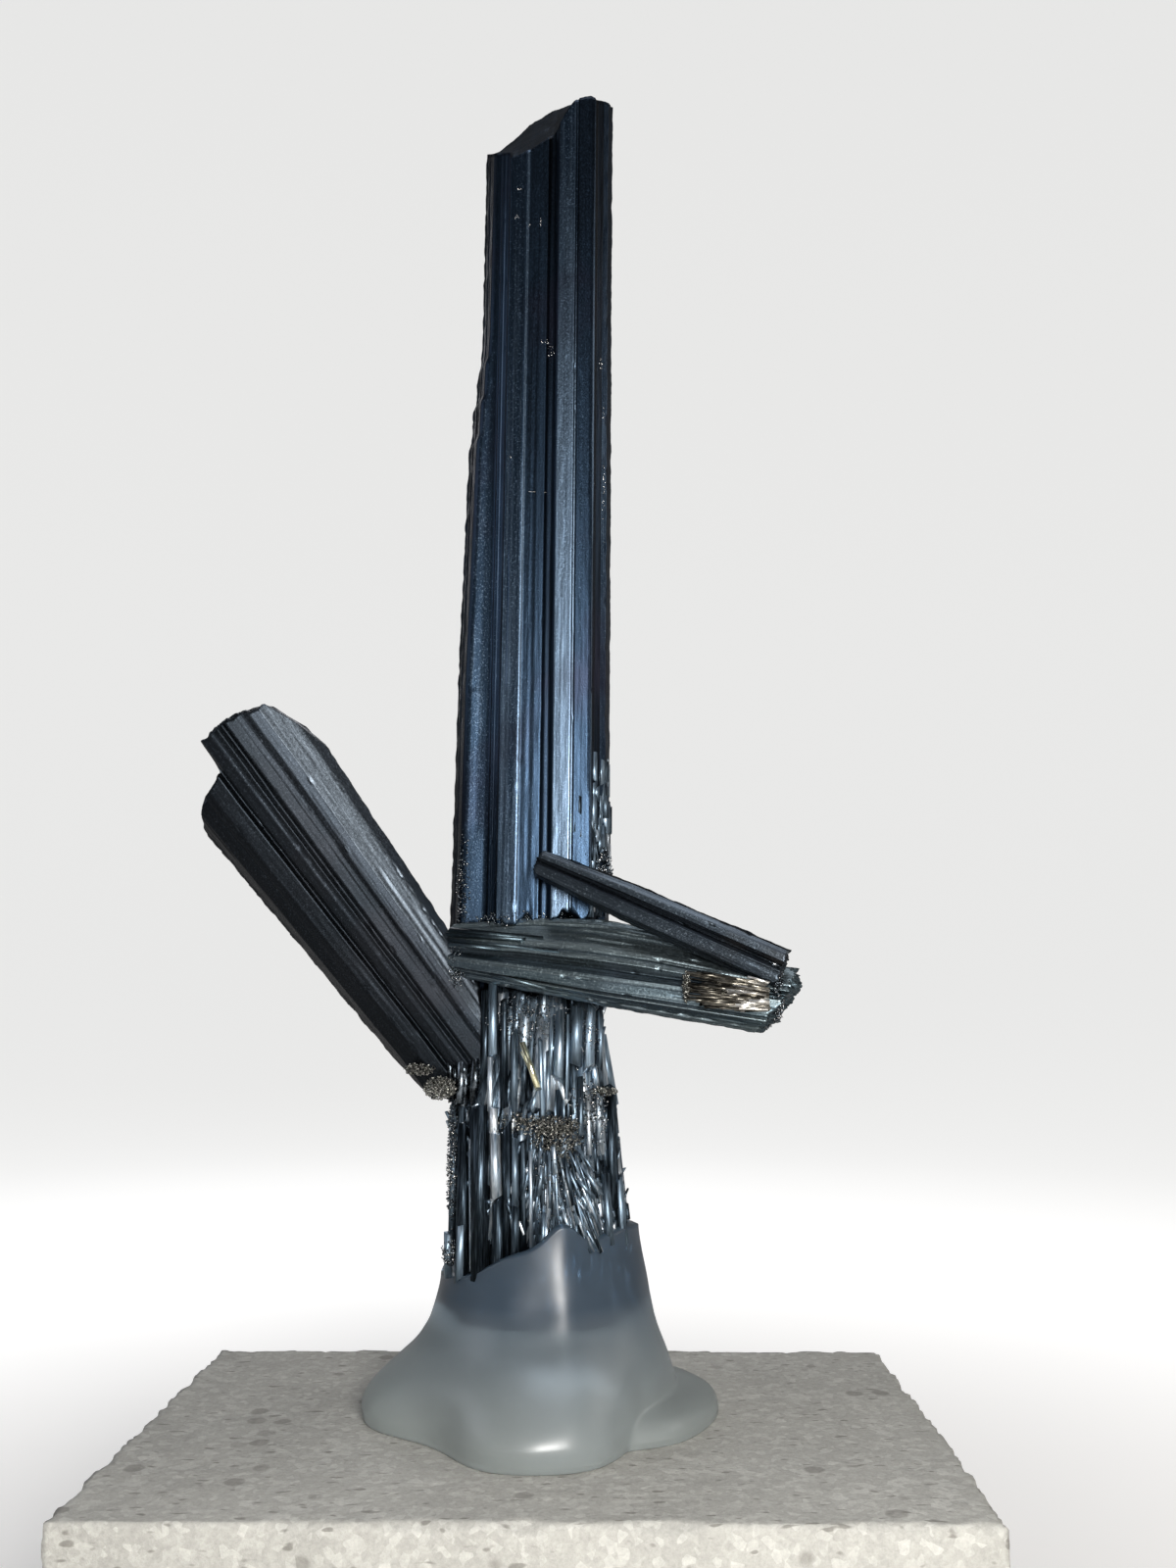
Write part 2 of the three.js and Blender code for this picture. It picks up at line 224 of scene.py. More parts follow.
@dataclass(frozen=True)
class Axis:
    """A prism's own frame: z along its axis, y to the back, x across."""

    foot: Point
    tip: Point

    @property
    def length(self) -> float:
        """Distance from foot to tip."""
        return float(np.linalg.norm(np.subtract(self.tip, self.foot)))

    def to_part(self, local: Array) -> Array:
        """Turns and shifts points from the prism's frame to the part's."""
        along = unit(np.subtract(self.tip, self.foot))
        across = unit(np.cross((0.0, 1.0, 0.0), along))
        back = np.cross(along, across)
        return np.array(self.foot) + local @ np.stack([across, back, along])


# ---------------------------------------------------------------- striated prisms


@dataclass(frozen=True)
class Striae:
    """Growth lines along a prism: narrow bands of the surface that stand a little lower or higher."""

    count: int
    width: Pair
    depth: float
    reach: Pair  # shortest and longest band, as shares of the prism's length


@dataclass(frozen=True)
class Chips:
    """Small bites out of the sharp edges."""

    count: int
    width: float
    length: Pair
    depth: float


@dataclass
class StriatedPrism:
    """A crystal: a faceted section carried along an axis, with growth lines, chipped edges and rough ends."""

    name: str
    axis: Axis
    # The facet tones are partly the facets' own tone and partly painted highlight and shade, brighter where a
    # facet faces the light by the lens.
    outline: tuple[tuple[float, float, float], ...]  # x, y and the tone of the facet that starts there
    striae: Striae
    chips: Chips
    seed: int
    rows: int
    column_width: float = 0.11
    foot_rim: Table = ((0, 0), (1, 0))
    tip_rim: Table = ((0, 0), (1, 0))
    tip_rim_back: Table | None = None
    rim_depths: Pair = (-3.0, 3.0)
    foot_break: Pair = (0.3, 0.8)  # height and cell size of the roughness
    tip_break: Pair = (0.2, 0.9)
    growth_down: Table = ((0, 1), (1, 1))
    growth_up: Table = ((0, 1), (1, 1))
    growth_back: Table = ((0, 1), (1, 1))
    foot_drop_back: tuple[float, float, float] | None = None  # y where it starts, y where it ends, depth
    ledge: Table = ((0, 0), (1, 0))
    ledge_edge: Pair = (-1e9, -2e9)  # x where the ledge begins, x where it is whole
    cap_rings: int = 14
    raggedness: float = 0.06
    # Painted shade: the dimming table scales the facets' tone along the length, so a prism can be darker
    # towards its top, where its light falls off.
    dimming: Table = ((0, 1), (1, 1))  # share of the facets' tone that is left at each share of the length

    def columns(self) -> tuple[Array, Array, Array, Array, Array]:
        """Points round the outline, close together and with every corner among them.

        Each facet is a straight line from one corner to the next, cut into equal steps.

        Returns:
            Points, outward normals, facet tones, distances round the outline, distances to a corner.
        """
        rows = np.array(self.outline)
        corners, tones = rows[:, :2], rows[:, 2]
        ahead = np.roll(corners, -1, axis=0)
        spans = np.linalg.norm(ahead - corners, axis=1)
        steps = np.maximum(1, np.round(spans / self.column_width)).astype(int)
        facet = np.repeat(np.arange(len(corners)), steps)
        step = np.arange(steps.sum()) - np.repeat(np.cumsum(steps) - steps, steps)
        share = step / steps[facet]
        points = corners[facet] + (ahead - corners)[facet] * share[:, None]
        along = unit(np.roll(points, -1, axis=0) - np.roll(points, 1, axis=0))
        normals = np.stack([along[:, 1], -along[:, 0]], -1)
        distance = (np.cumsum(spans) - spans)[facet] + share * spans[facet]
        to_corner = np.minimum(share, 1 - share) * spans[facet]
        return points, normals, tones[facet], distance, to_corner

    def foot_height(self, x: Array, y: Array) -> Array:
        """Height of the lower end at each place across the section."""
        height = read_table(self.foot_rim, x)
        if self.foot_drop_back:
            begins, ends, depth = self.foot_drop_back
            height = height - depth * smooth_step(begins, ends, y)
        rough, cell = self.foot_break
        return height + rough * hackly(np.stack([x, y], -1), cell, self.seed + 3)

    def tip_height(self, x: Array, y: Array) -> Array:
        """Height of the upper end: the front rim's height, blended to the back rim's with depth."""
        height = read_table(self.tip_rim, x)
        if self.tip_rim_back:
            front, back = self.rim_depths
            share = np.clip((y - front) / (back - front), 0, 1)
            height = height + (read_table(self.tip_rim_back, x) - height) * share
        rough, cell = self.tip_break
        return self.axis.length + height + rough * hackly(np.stack([x, y], -1), cell, self.seed + 5)

    def relief(self, distance: Array, to_corner: Array, side: Array, heights: Array) -> Array:
        """How far the surface stands out at each row and column.

        Growth lines are boxes in distance round the outline, with ramps at their ends along the axis.
        Chips are short boxes centred on corners. The outermost edges are ragged with stepped noise. A little
        noise, long along the axis, lies over it all.

        Args:
            distance: Distance of each column round the outline.
            to_corner: Distance of each column to the nearest corner.
            side: How far each column is from the axis, to the left or right.
            heights: Height of each row and column along the axis.

        Returns:
            Millimetres outwards, negative for inwards, row by column.
        """
        rng = np.random.default_rng(self.seed)
        relief = np.zeros(heights.shape)
        length, girth = self.axis.length, distance[-1]
        for _ in range(self.striae.count):
            centre = rng.uniform(0, girth)
            width = rng.uniform(*self.striae.width)
            begins = rng.uniform(-0.3, 1.0) * length
            reach = rng.uniform(*self.striae.reach) * length
            depth = self.striae.depth * rng.uniform(-1.0, 0.35)
            across = np.nonzero(np.abs(distance - centre) < width / 2)[0]
            if not len(across):
                continue
            inside = heights[:, across]
            ramp = 1.2
            share = np.clip((inside - begins) / ramp, 0, 1) * np.clip((begins + reach - inside) / ramp, 0, 1)
            relief[:, across] += depth * share
        sharp = to_corner < 1e-6
        likely = (1 + 14 * (side[sharp] > 0.86 * side.max())).astype(float)
        for _ in range(self.chips.count):
            centre = rng.choice(distance[sharp], p=likely / likely.sum())
            width = self.chips.width * rng.uniform(0.4, 1.6)
            reach = rng.uniform(*self.chips.length)
            begins = rng.uniform(0, length)
            depth = self.chips.depth * rng.uniform(0.3, 1.0)
            across = np.nonzero(np.abs(distance - centre) < width)[0]
            inside = heights[:, across] - begins
            bite = np.clip(1 - np.abs(inside) / reach, 0, 1) ** 0.5
            fall = 1 - np.abs(distance[across] - centre) / width
            relief[:, across] -= depth * bite * fall
        edge = smooth_step(0.86, 0.97, side / side.max())
        ragged = np.stack([np.broadcast_to(distance, heights.shape).ravel() * 0.8, heights.ravel() * 1.1], -1)
        relief += self.raggedness * hackly(ragged, 1.0, self.seed + 7).reshape(heights.shape) * edge
        stretched = np.stack([np.broadcast_to(distance, heights.shape).ravel() * 6, heights.ravel() * 0.4], -1)
        relief += 0.012 * fractal_noise(stretched, 1.0, self.seed + 9).reshape(heights.shape)
        return relief

    def shaped(self, x: Array, y: Array, height: Array) -> Array:
        """Places across the section and along the axis, after growth and the ledge, in the part's frame."""
        share = np.clip(height / self.axis.length, 0, 1)
        begins, whole = self.ledge_edge
        stepped = x - np.clip((x - begins) / (whole - begins), 0, 1) * read_table(self.ledge, height)
        side = np.where(x < 0, read_table(self.growth_up, share), read_table(self.growth_down, share))
        deep = read_table(self.growth_back, share)
        local = np.stack([stepped * side, y * deep, height], -1)
        return self.axis.to_part(local.reshape(-1, 3))

    def surface(self) -> Surface:
        """The closed skin: the striated sides on a grid, and two rough ends made of shrinking rings."""
        points, normals, tones, distance, to_corner = self.columns()
        count = len(points)
        low = self.foot_height(points[:, 0], points[:, 1])
        high = self.tip_height(points[:, 0], points[:, 1])
        share = np.linspace(0, 1, self.rows)[:, None]
        heights = low + (high - low) * share
        relief = self.relief(distance, to_corner, np.abs(points[:, 0]), heights)
        x = points[:, 0] + normals[:, 0] * relief
        y = points[:, 1] + normals[:, 1] * relief
        corners = [self.shaped(x, y, heights)]
        faces = [ring_faces(self.rows, count)]
        u = np.append(distance, distance[-1] + self.column_width)
        u_face = np.stack([u[:-1], u[1:], u[1:], u[:-1]], -1)
        v_low, v_high = heights[:-1], heights[1:]
        v_face = np.stack([v_low, np.roll(v_low, -1, 1), np.roll(v_high, -1, 1), v_high], -1)
        places = [np.stack([np.broadcast_to(u_face, v_face.shape), v_face], -1).reshape(-1, 4, 2)]
        # The dimming table darkens the facet tones along the length: painted shade.
        all_tones = [(read_table(self.dimming, share[1:]) * tones).ravel()]
        total = self.rows * count
        ends = (
            (x[0], y[0], self.foot_height, False, np.arange(count)),
            (x[-1], y[-1], self.tip_height, True, np.arange(count) + (self.rows - 1) * count),
        )
        for rim_x, rim_y, height_at, upwards, rim in ends:
            middle_x, middle_y = rim_x.mean(), rim_y.mean()
            shrink = (1 - np.arange(1, self.cap_rings) / self.cap_rings)[:, None]
            ring_x = middle_x + (rim_x - middle_x) * shrink
            ring_y = middle_y + (rim_y - middle_y) * shrink
            ring_x = np.append(ring_x.ravel(), middle_x)
            ring_y = np.append(ring_y.ravel(), middle_y)
            corners.append(self.shaped(ring_x, ring_y, height_at(ring_x, ring_y)))
            inner = ring_faces(self.cap_rings - 1, count, total)
            ahead = np.roll(rim, -1)
            first = np.arange(count) + total
            bridge = np.stack([rim, ahead, np.roll(first, -1), first], -1)
            last_ring = np.arange(count) + total + (self.cap_rings - 2) * count
            tip = fan_faces(last_ring, total + (self.cap_rings - 1) * count, True)
            end_faces = np.concatenate([bridge, inner, tip])
            if not upwards:
                end_faces = end_faces[:, [1, 0, 3, 2]]
                end_faces[-count:] = fan_faces(last_ring, total + (self.cap_rings - 1) * count, False)
            faces.append(end_faces)
            flat = np.concatenate([np.stack([rim_x, rim_y], -1), np.stack([ring_x, ring_y], -1)])
            lookup = np.where(end_faces >= total, end_faces - total + count, end_faces % count)
            places.append(flat[lookup])
            all_tones.append(np.full(len(end_faces), 0.35))
            total += len(ring_x)
        return Surface(
            np.concatenate(corners), np.concatenate(faces), np.concatenate(all_tones), np.concatenate(places)
        )


def hackly(points: Array, cell: float, seed: int) -> Array:
    """Roughness of a broken crystal end: noise, partly cut into level steps, from about -1 to 1."""
    soft = fractal_noise(points, cell, seed)
    steps = np.floor(soft * 3) / 3
    return 0.35 * soft + 0.65 * steps


# ---------------------------------------------------------------- needles and grains


def needle_surface(
    feet: Array, tips: Array, widths: Array, seed: int, sides: int = 5,
    facing: Array | None = None, tones: Array | None = None, chance: float = 1.0,
) -> Surface:
    """Many slender prisms at once, each an irregular polygon carried from its foot to its tip.

    Corner i of a needle lies at the angle of i turns over the number of sides, plus a little chance, and
    its ends are cut on slants of their own.

    Args:
        feet: Lower ends, one row each.
        tips: Upper ends.
        widths: Widths across.
        seed: Picks the irregularities and the tones.
        sides: Number of sides of each needle.
        facing: Directions that one face of each needle looks in.
        tones: Tone of each needle, random if left out.
        chance: Share of the full irregularity.

    Returns:
        All the needles as one surface.
    """
    rng = np.random.default_rng(seed)
    count = len(feet)
    along = unit(tips - feet)
    outwards = np.broadcast_to((0.0, -1.0, 0.0), along.shape) if facing is None else facing
    across = unit(np.cross(outwards, along))
    front = np.cross(along, across)
    turn = (np.arange(sides) + 0.5) * 2 * np.pi / sides + rng.normal(0, 0.16 * chance, (count, sides))
    turn = turn + rng.normal(0, 0.22 * chance, (count, 1)) + np.pi / 2
    reach = widths[:, None] * rng.uniform(0.52 - 0.12 * chance, 0.52 + 0.1 * chance, (count, sides))
    a, b = reach * np.cos(turn), reach * np.sin(turn)
    slopes = rng.normal(0, 0.45, (count, 2, 2))
    lift_low = a * slopes[:, 0, :1] + b * slopes[:, 0, 1:]
    lift_high = a * slopes[:, 1, :1] + b * slopes[:, 1, 1:]
    offset = a[..., None] * across[:, None] + b[..., None] * front[:, None]
    low = feet[:, None] + offset + lift_low[..., None] * along[:, None]
    tip_share = rng.uniform(0.8, 1.0, (count, 1, 1))
    high = tips[:, None] + offset * tip_share + lift_high[..., None] * along[:, None]
    corners = np.concatenate([low, high], 1).reshape(-1, 3)
    base = (np.arange(count) * 2 * sides)[:, None, None]
    side = ring_faces(2, sides)[None]
    steps = np.arange(1, sides - 1)
    bottom = np.stack([np.zeros_like(steps), steps + 1, steps, steps], -1)[None]
    top = np.stack([np.zeros_like(steps), steps, steps + 1, steps + 1], -1)[None] + sides
    faces = np.concatenate([side + base, bottom + base, top + base], 1)
    own = rng.beta(1.1, 1.7, (count, 1)) if tones is None else tones[:, None]
    face_tones = np.clip(own + rng.normal(0, 0.08, (count, faces.shape[1])), 0, 1)
    lengths = np.linalg.norm(tips - feet, axis=1)
    local_u = np.tile(np.arange(sides), 2)[None] * widths[:, None] * 0.6 + rng.uniform(0, 60, (count, 1))
    local_v = np.repeat([0.0, 1.0], sides)[None] * lengths[:, None] + rng.uniform(0, 60, (count, 1))
    flat = np.stack([local_u, local_v], -1).reshape(-1, 2)
    return Surface(corners, faces.reshape(-1, 4), face_tones.ravel(), flat[faces.reshape(-1, 4)])


def joined_up(parts: tuple[Surface, ...]) -> Surface:
    """Several surfaces as one."""
    whole = parts[0]
    for part in parts[1:]:
        whole = whole.joined(part)
    return whole


def grain_surface(centres: Array, sizes: Array, seed: int) -> Surface:
    """Many small crystal grains at once: six-cornered double pyramids, squashed and turned at random.

    Args:
        centres: Middles of the grains.
        sizes: Sizes across.
        seed: Picks the turns and the tones.

    Returns:
        All the grains as one surface.
    """
    rng = np.random.default_rng(seed)
    count = len(centres)
    shape = np.array([(1, 0, 0), (0, 1, 0), (-1, 0, 0), (0, -1, 0), (0, 0, 1), (0, 0, -1)], float)
    stretch = rng.uniform(0.55, 1.35, (count, 1, 3))
    turned = np.linalg.qr(rng.normal(size=(count, 3, 3)))[0]
    turned = turned * np.where(np.linalg.det(turned) < 0, -1, 1)[:, None, None]
    corners = centres[:, None] + (shape * stretch * sizes[:, None, None] * 0.5) @ turned
    faces = []
    for i in range(4):
        faces.append((i, (i + 1) % 4, 4, 4))
        faces.append(((i + 1) % 4, i, 5, 5))
    faces = np.array(faces)[None] + (np.arange(count) * 6)[:, None, None]
    tones = rng.beta(0.6, 1.3, (count, 8))
    places = np.zeros((count * 8, 4, 2))
    return Surface(corners.reshape(-1, 3), faces.reshape(-1, 4), tones.ravel(), places)


# ---------------------------------------------------------------- finishes


def linear(code: str) -> tuple[float, float, float, float]:
    """Turns an sRGB hex colour into linear light.

    Args:
        code: The colour, such as "#99978f".

    Returns:
        Red, green, blue and an alpha of 1.
    """
    levels = [int(code[i : i + 2], 16) / 255 for i in (1, 3, 5)]
    bright = [v / 12.92 if v <= 0.04045 else ((v + 0.055) / 1.055) ** 2.4 for v in levels]
    return bright[0], bright[1], bright[2], 1.0


def add_node(tree: Tree, kind: str, inputs: dict | tuple = (), output: int | str = 0, **settings) -> Socket:
    """Adds one node, with its settings and links.

    Args:
        tree: The material's node tree.
        kind: Blender's name for the node type, without its ShaderNode.
        inputs: Values, or the sockets that feed them, in order or by the input's name or number.
        output: The output that is wanted, by number or name.
        **settings: The node's own properties.

    Returns:
        That output's socket.
    """
    node = tree.nodes.new("ShaderNode" + kind)
    for name, value in settings.items():
        setattr(node, name, value)
    for key, value in inputs.items() if isinstance(inputs, dict) else enumerate(inputs):
        if isinstance(value, Socket):
            tree.links.new(value, node.inputs[key])
        else:
            node.inputs[key].default_value = value
    return node.outputs[output]


def three_tones(tree: Tree, level: Socket, turn: float, colours: tuple[str, str, str]) -> Socket:
    """Runs from a dark colour through a middle one to a bright one as a level goes from 0 to 1.

    Args:
        tree: The material's node tree.
        level: The level.
        turn: Level at which the middle colour stands alone.
        colours: Dark, middle and bright.

    Returns:
        The colour.
    """
    dark, middle, bright = (linear(code) for code in colours)
    low = add_node(tree, "MapRange", (level, 0.0, turn, 0.0, 1.0))
    high = add_node(tree, "MapRange", (level, turn, 1.0, 0.0, 1.0))
    lower = add_node(tree, "Mix", {0: low, 6: dark, 7: middle}, 2, data_type="RGBA")
    return add_node(tree, "Mix", {0: high, 6: lower, 7: bright}, 2, data_type="RGBA")


def blank_material(name: str) -> tuple[bpy.types.Material, Tree, bpy.types.Node]:
    """Makes a material with only a Principled shader and an output.

    Args:
        name: Its name.

    Returns:
        The material, its node tree and the shader.
    """
    material = bpy.data.materials.new(name)
    material.use_nodes = True
    tree = material.node_tree
    tree.nodes.clear()
    surface = add_node(tree, "BsdfPrincipled")
    tree.links.new(surface, tree.nodes.new("ShaderNodeOutputMaterial").inputs["Surface"])
    return material, tree, surface.node


def dress_shader(tree: Tree, shader: bpy.types.Node, inputs: dict[str, Socket | float | tuple]) -> None:
    """Sets the shader's own inputs.

    Args:
        tree: The material's node tree.
        shader: The Principled shader.
        inputs: Input name to a value, or to the socket that feeds it.
    """
    for name, value in inputs.items():
        if isinstance(value, Socket):
            tree.links.new(value, shader.inputs[name])
        else:
            shader.inputs[name].default_value = value


@dataclass(frozen=True)
class PrismFinish:
    """Stibnite prism face: submetallic, grown in fine lines, with a thin blue to bronze tarnish.

    The mineral absorbs strongly, so its faces show almost only their reflection, dark and tinted.
    """

    name: str
    dark: str
    middle: str
    bright: str
    warm: str
    line_spacing: float = 0.2  # millimetres between growth lines
    line_pull: float = 0.09  # how much a growth line changes the tone
    band_pull: float = 0.12
    grain: float = 0.13  # millimetres across one sugary pit
    patch: float = 9.0  # millimetres across one patch of tarnish
    # Painted glints: the specks brighten the colour where the sugary grain's tiny facets would catch the
    # light.
    specks: float = 0.3  # how much brighter a speck is
    specks_on_dark: float = 0.15  # share of the specks that dark faces have too
    roughness: float = 0.36

    def material(self) -> bpy.types.Material:
        """Builds the material: tone of the facet (partly painted highlight and shade), growth lines, tarnish
        patches, and sugary grain with painted glints.
        """
        material, tree, shader = blank_material(self.name)
        surface = add_node(tree, "UVMap", uv_map="surface_mm")
        body = add_node(tree, "TexCoord", output="Object")
        tone = add_node(tree, "Attribute", output="Fac", attribute_name="tone")
        level, pulled = tone, []
        for across, along, pull in (
            (UV_MM / self.line_spacing, UV_MM * 0.06, self.line_pull),
            (UV_MM * 0.9, UV_MM * 0.035, self.band_pull),
        ):
            place = add_node(tree, "Mapping", {"Vector": surface, "Scale": (across, along, 1)})
            noise = {"Vector": place, "Scale": 1.0, "Detail": 3.0, "Roughness": 0.6}
            lines = add_node(tree, "TexNoise", noise)
            change = add_node(tree, "MapRange", (lines, 0.3, 0.7, -pull, pull))
            level = add_node(tree, "Math", (level, change), operation="ADD")
            pulled.append(lines)
        grain = add_node(
            tree, "TexNoise", {"Vector": body, "Scale": 1 / (self.grain * MM), "Detail": 2.0, "Roughness": 0.6}
        )
        # Painted glints: brighter specks over the sugary grain, fewer on faces of low tone.
        painted_grain_glints = add_node(tree, "MapRange", (grain, 0.56, 0.74, 0.0, self.specks))
        where = add_node(tree, "MapRange", (tone, 0.1, 0.5, self.specks_on_dark, 1.0))
        specks = add_node(tree, "Math", (painted_grain_glints, where), operation="MULTIPLY")
        level = add_node(tree, "Math", (level, specks), operation="ADD")
        cool = three_tones(tree, level, 0.5, (self.dark, self.middle, self.bright))
        patches = add_node(tree, "TexNoise", {"Vector": body, "Scale": 1 / (self.patch * MM), "Detail": 3.0})
        warmth = add_node(tree, "MapRange", (patches, 0.52, 0.72, 0.0, 0.5))
        line_bump = add_node(tree, "Bump", {"Height": pulled[0], "Strength": 0.35, "Distance": 0.04 * MM})
        bump = {"Height": grain, "Strength": 0.45, "Distance": 0.03 * MM, "Normal": line_bump}
        dull = add_node(tree, "MapRange", (grain, 0.3, 0.7, self.roughness - 0.06, self.roughness + 0.12))
        tarnished = {0: warmth, 6: cool, 7: linear(self.warm)}
        dress_shader(tree, shader, {
            "Base Color": add_node(tree, "Mix", tarnished, 2, data_type="RGBA"),
            "Roughness": dull,
            "Normal": add_node(tree, "Bump", bump),
            "Metallic": 1.0,
        })
        return material


@dataclass(frozen=True)
class SplinterFinish:
    """Freshly broken splinters, fibres and grains: bright cleavage faces, each of its own tone."""

    name: str
    dark: str
    middle: str
    bright: str
    streak: Point  # millimetres across one streak, along each axis
    roughness: float = 0.2
    bump: float = 0.25

    def material(self) -> bpy.types.Material:
        """Builds the material: the face's own tone picks its colour, and fine streaks cross it."""
        material, tree, shader = blank_material(self.name)
        body = add_node(tree, "TexCoord", output="Object")
        tone = add_node(tree, "Attribute", output="Fac", attribute_name="tone")
        scale = tuple(1 / (size * MM) for size in self.streak)
        place = add_node(tree, "Mapping", {"Vector": body, "Scale": scale})
        streak = add_node(tree, "TexNoise", {"Vector": place, "Scale": 1.0, "Detail": 2.0, "Roughness": 0.6})
        change = add_node(tree, "MapRange", (streak, 0.3, 0.7, -0.2, 0.2))
        level = add_node(tree, "Math", (tone, change), operation="ADD")
        dull = add_node(tree, "MapRange", (streak, 0.0, 1.0, self.roughness - 0.08, self.roughness + 0.12))
        dress_shader(tree, shader, {
            "Base Color": three_tones(tree, level, 0.55, (self.dark, self.middle, self.bright)),
            "Roughness": dull,
            "Normal": add_node(tree, "Bump", {"Height": streak, "Strength": self.bump, "Distance": 0.02 * MM}),
            "Metallic": 1.0,
        })
        return material


@dataclass(frozen=True)
class FrostedResinFinish:
    """Polyester casting resin, frosted: light passes through, and its skin blurs what is sealed inside."""

    name: str = "frosted_polyester_resin"
    upper: str = "#5d7287"  # painted shade near the top, where the dark stem shows through, and painted light near the foot
    lower: str = "#d8dfdb"
    roughness: float = 0.35
    passing: float = 0.8  # share of the light that goes in
    haze: str = "#8ea3ad"
    haze_density: float = 12.0  # per metre

    def material(self) -> bpy.types.Material:
        """Builds the material: plain transmission with a faintly mottled frost, even absorption, and painted
        light and shade in its colour, pale at the foot and darker up the column.
        """
        material, tree, shader = blank_material(self.name)
        body = add_node(tree, "TexCoord", output="Object")
        frost = add_node(tree, "TexNoise", {"Vector": body, "Scale": 1 / (4 * MM), "Detail": 3.0})
        # Painted light and shade: the colour runs from pale at the thin foot to dark blue-grey up the column,
        # where the dark stem shows through.
        height = add_node(tree, "SeparateXYZ", (body,), "Z")
        rising = add_node(tree, "MapRange", (height, 20.5 * MM, 29.5 * MM, 0.0, 1.0))
        painted_light_and_shade = {0: rising, 6: linear(self.lower), 7: linear(self.upper)}
        dull = add_node(tree, "MapRange", (frost, 0.3, 0.7, self.roughness - 0.05, self.roughness + 0.06))
        dress_shader(tree, shader, {
            "Base Color": add_node(tree, "Mix", painted_light_and_shade, 2, data_type="RGBA"),
            "Roughness": dull,
            "Transmission Weight": self.passing,
            "IOR": 1.5,
        })
        haze = add_node(tree, "VolumeAbsorption", {"Color": linear(self.haze), "Density": self.haze_density})
        output = next(n for n in tree.nodes if n.type == "OUTPUT_MATERIAL")
        tree.links.new(haze, output.inputs["Volume"])
        return material


@dataclass(frozen=True)
class CompositeStoneFinish:
    """Engineered stone, sawn: pale binder with small dark streaks and paler grit, rough and without gloss."""

    name: str = "engineered_stone_sawn"
    binder: str = "#9d9c96"
    pale: str = "#bdbcb6"
    fleck: str = "#66635d"
    grit: float = 0.6  # millimetres across one pale grain, one dark pebble, one grain of sand and one cloud
    pebble: float = 2.6
    sand: float = 0.35
    cloud: float = 7.0
    streak: Point = (1 / 0.65, 1 / 1.6, 1 / 1.6)  # millimetres across one dark streak, along each axis

    def material(self) -> bpy.types.Material:
        """Builds the material: grit cells, scattered dark flecks, fine sand and a rough skin."""
        material, tree, shader = blank_material(self.name)
        body = add_node(tree, "TexCoord", output="Object")
        cell = add_node(tree, "TexVoronoi", {"Vector": body, "Scale": 1 / (self.grit * MM)}, "Color")
        cell_tone = add_node(tree, "SeparateColor", (cell,), 0)
        distance = add_node(tree, "TexVoronoi", {"Vector": body, "Scale": 1 / (self.pebble * MM)}, "Distance")
        pebble_tone = add_node(tree, "SeparateColor", (distance.node.outputs["Color"],), 1)
        near = add_node(tree, "MapRange", (distance, 0.25, 0.32, 0.5, 0.0))
        few = add_node(tree, "MapRange", (pebble_tone, 0.8, 0.84, 0.0, 1.0))
        sand = add_node(
            tree, "TexNoise", {"Vector": body, "Scale": 1 / (self.sand * MM), "Detail": 4.0, "Roughness": 0.75}
        )
        clouds = add_node(tree, "TexNoise", {"Vector": body, "Scale": 1 / (self.cloud * MM), "Detail": 4.0})
        streak_scale = tuple(1 / (size * MM) for size in self.streak)
        place = add_node(tree, "Mapping", {"Vector": body, "Scale": streak_scale})
        streaks = add_node(tree, "TexNoise", {"Vector": place, "Scale": 1.0, "Detail": 1.0, "Roughness": 0.6})
        colour = linear(self.binder)
        for share, over in (
            (add_node(tree, "MapRange", (cell_tone, 0.5, 1.0, 0.0, 0.5)), self.pale),
            (add_node(tree, "MapRange", (streaks, 0.66, 0.72, 0.0, 0.7)), self.fleck),
            (add_node(tree, "Math", (near, few), operation="MULTIPLY"), self.fleck),
        ):
            colour = add_node(tree, "Mix", {0: share, 6: colour, 7: linear(over)}, 2, data_type="RGBA")
        shade = add_node(tree, "MapRange", (sand, 0.25, 0.75, 0.78, 1.16))
        cloudy = add_node(tree, "MapRange", (clouds, 0.3, 0.7, 0.93, 1.06))
        both = add_node(tree, "Math", (shade, cloudy), operation="MULTIPLY")
        dress_shader(tree, shader, {
            "Base Color": add_node(tree, "VectorMath", (colour, both), operation="MULTIPLY"),
            "Normal": add_node(tree, "Bump", {"Height": sand, "Strength": 0.6, "Distance": 0.12 * MM}),
            "Roughness": 0.85,
        })
        return material


DARK_PRISM = PrismFinish("stibnite_tarnished_dark", "#0c0e12", "#2b3a4b", "#788da3", "#2c2a38")
SOOTY_PRISM = PrismFinish(
    "stibnite_sooty", "#15181b", "#353b42", "#6c757e", "#2b2c30",
    line_pull=0.04, band_pull=0.05, grain=0.17, specks=0.75, specks_on_dark=0.4, roughness=0.45,
)
SLATE_PRISM = PrismFinish(
    "stibnite_slate_grey", "#0f1216", "#3c444c", "#8b97a2", "#3b3734",
    line_pull=0.14, grain=0.15, specks_on_dark=0.5
)
GREY_PRISM = PrismFinish(
    "stibnite_grey", "#1a1f21", "#55636a", "#98a6aa", "#434b57", line_pull=0.15, grain=0.15, specks_on_dark=0.6
)
NEEDLES = SplinterFinish(
    "stibnite_etched_needles", "#242c33", "#8598a8", "#edf3f8", (0.12, 0.12, 2.5), 0.43, 0.08
)
CRUMBS = SplinterFinish("stibnite_fresh_grains", "#1b1f22", "#79828a", "#f3efea", (0.3, 0.3, 0.3), 0.24)
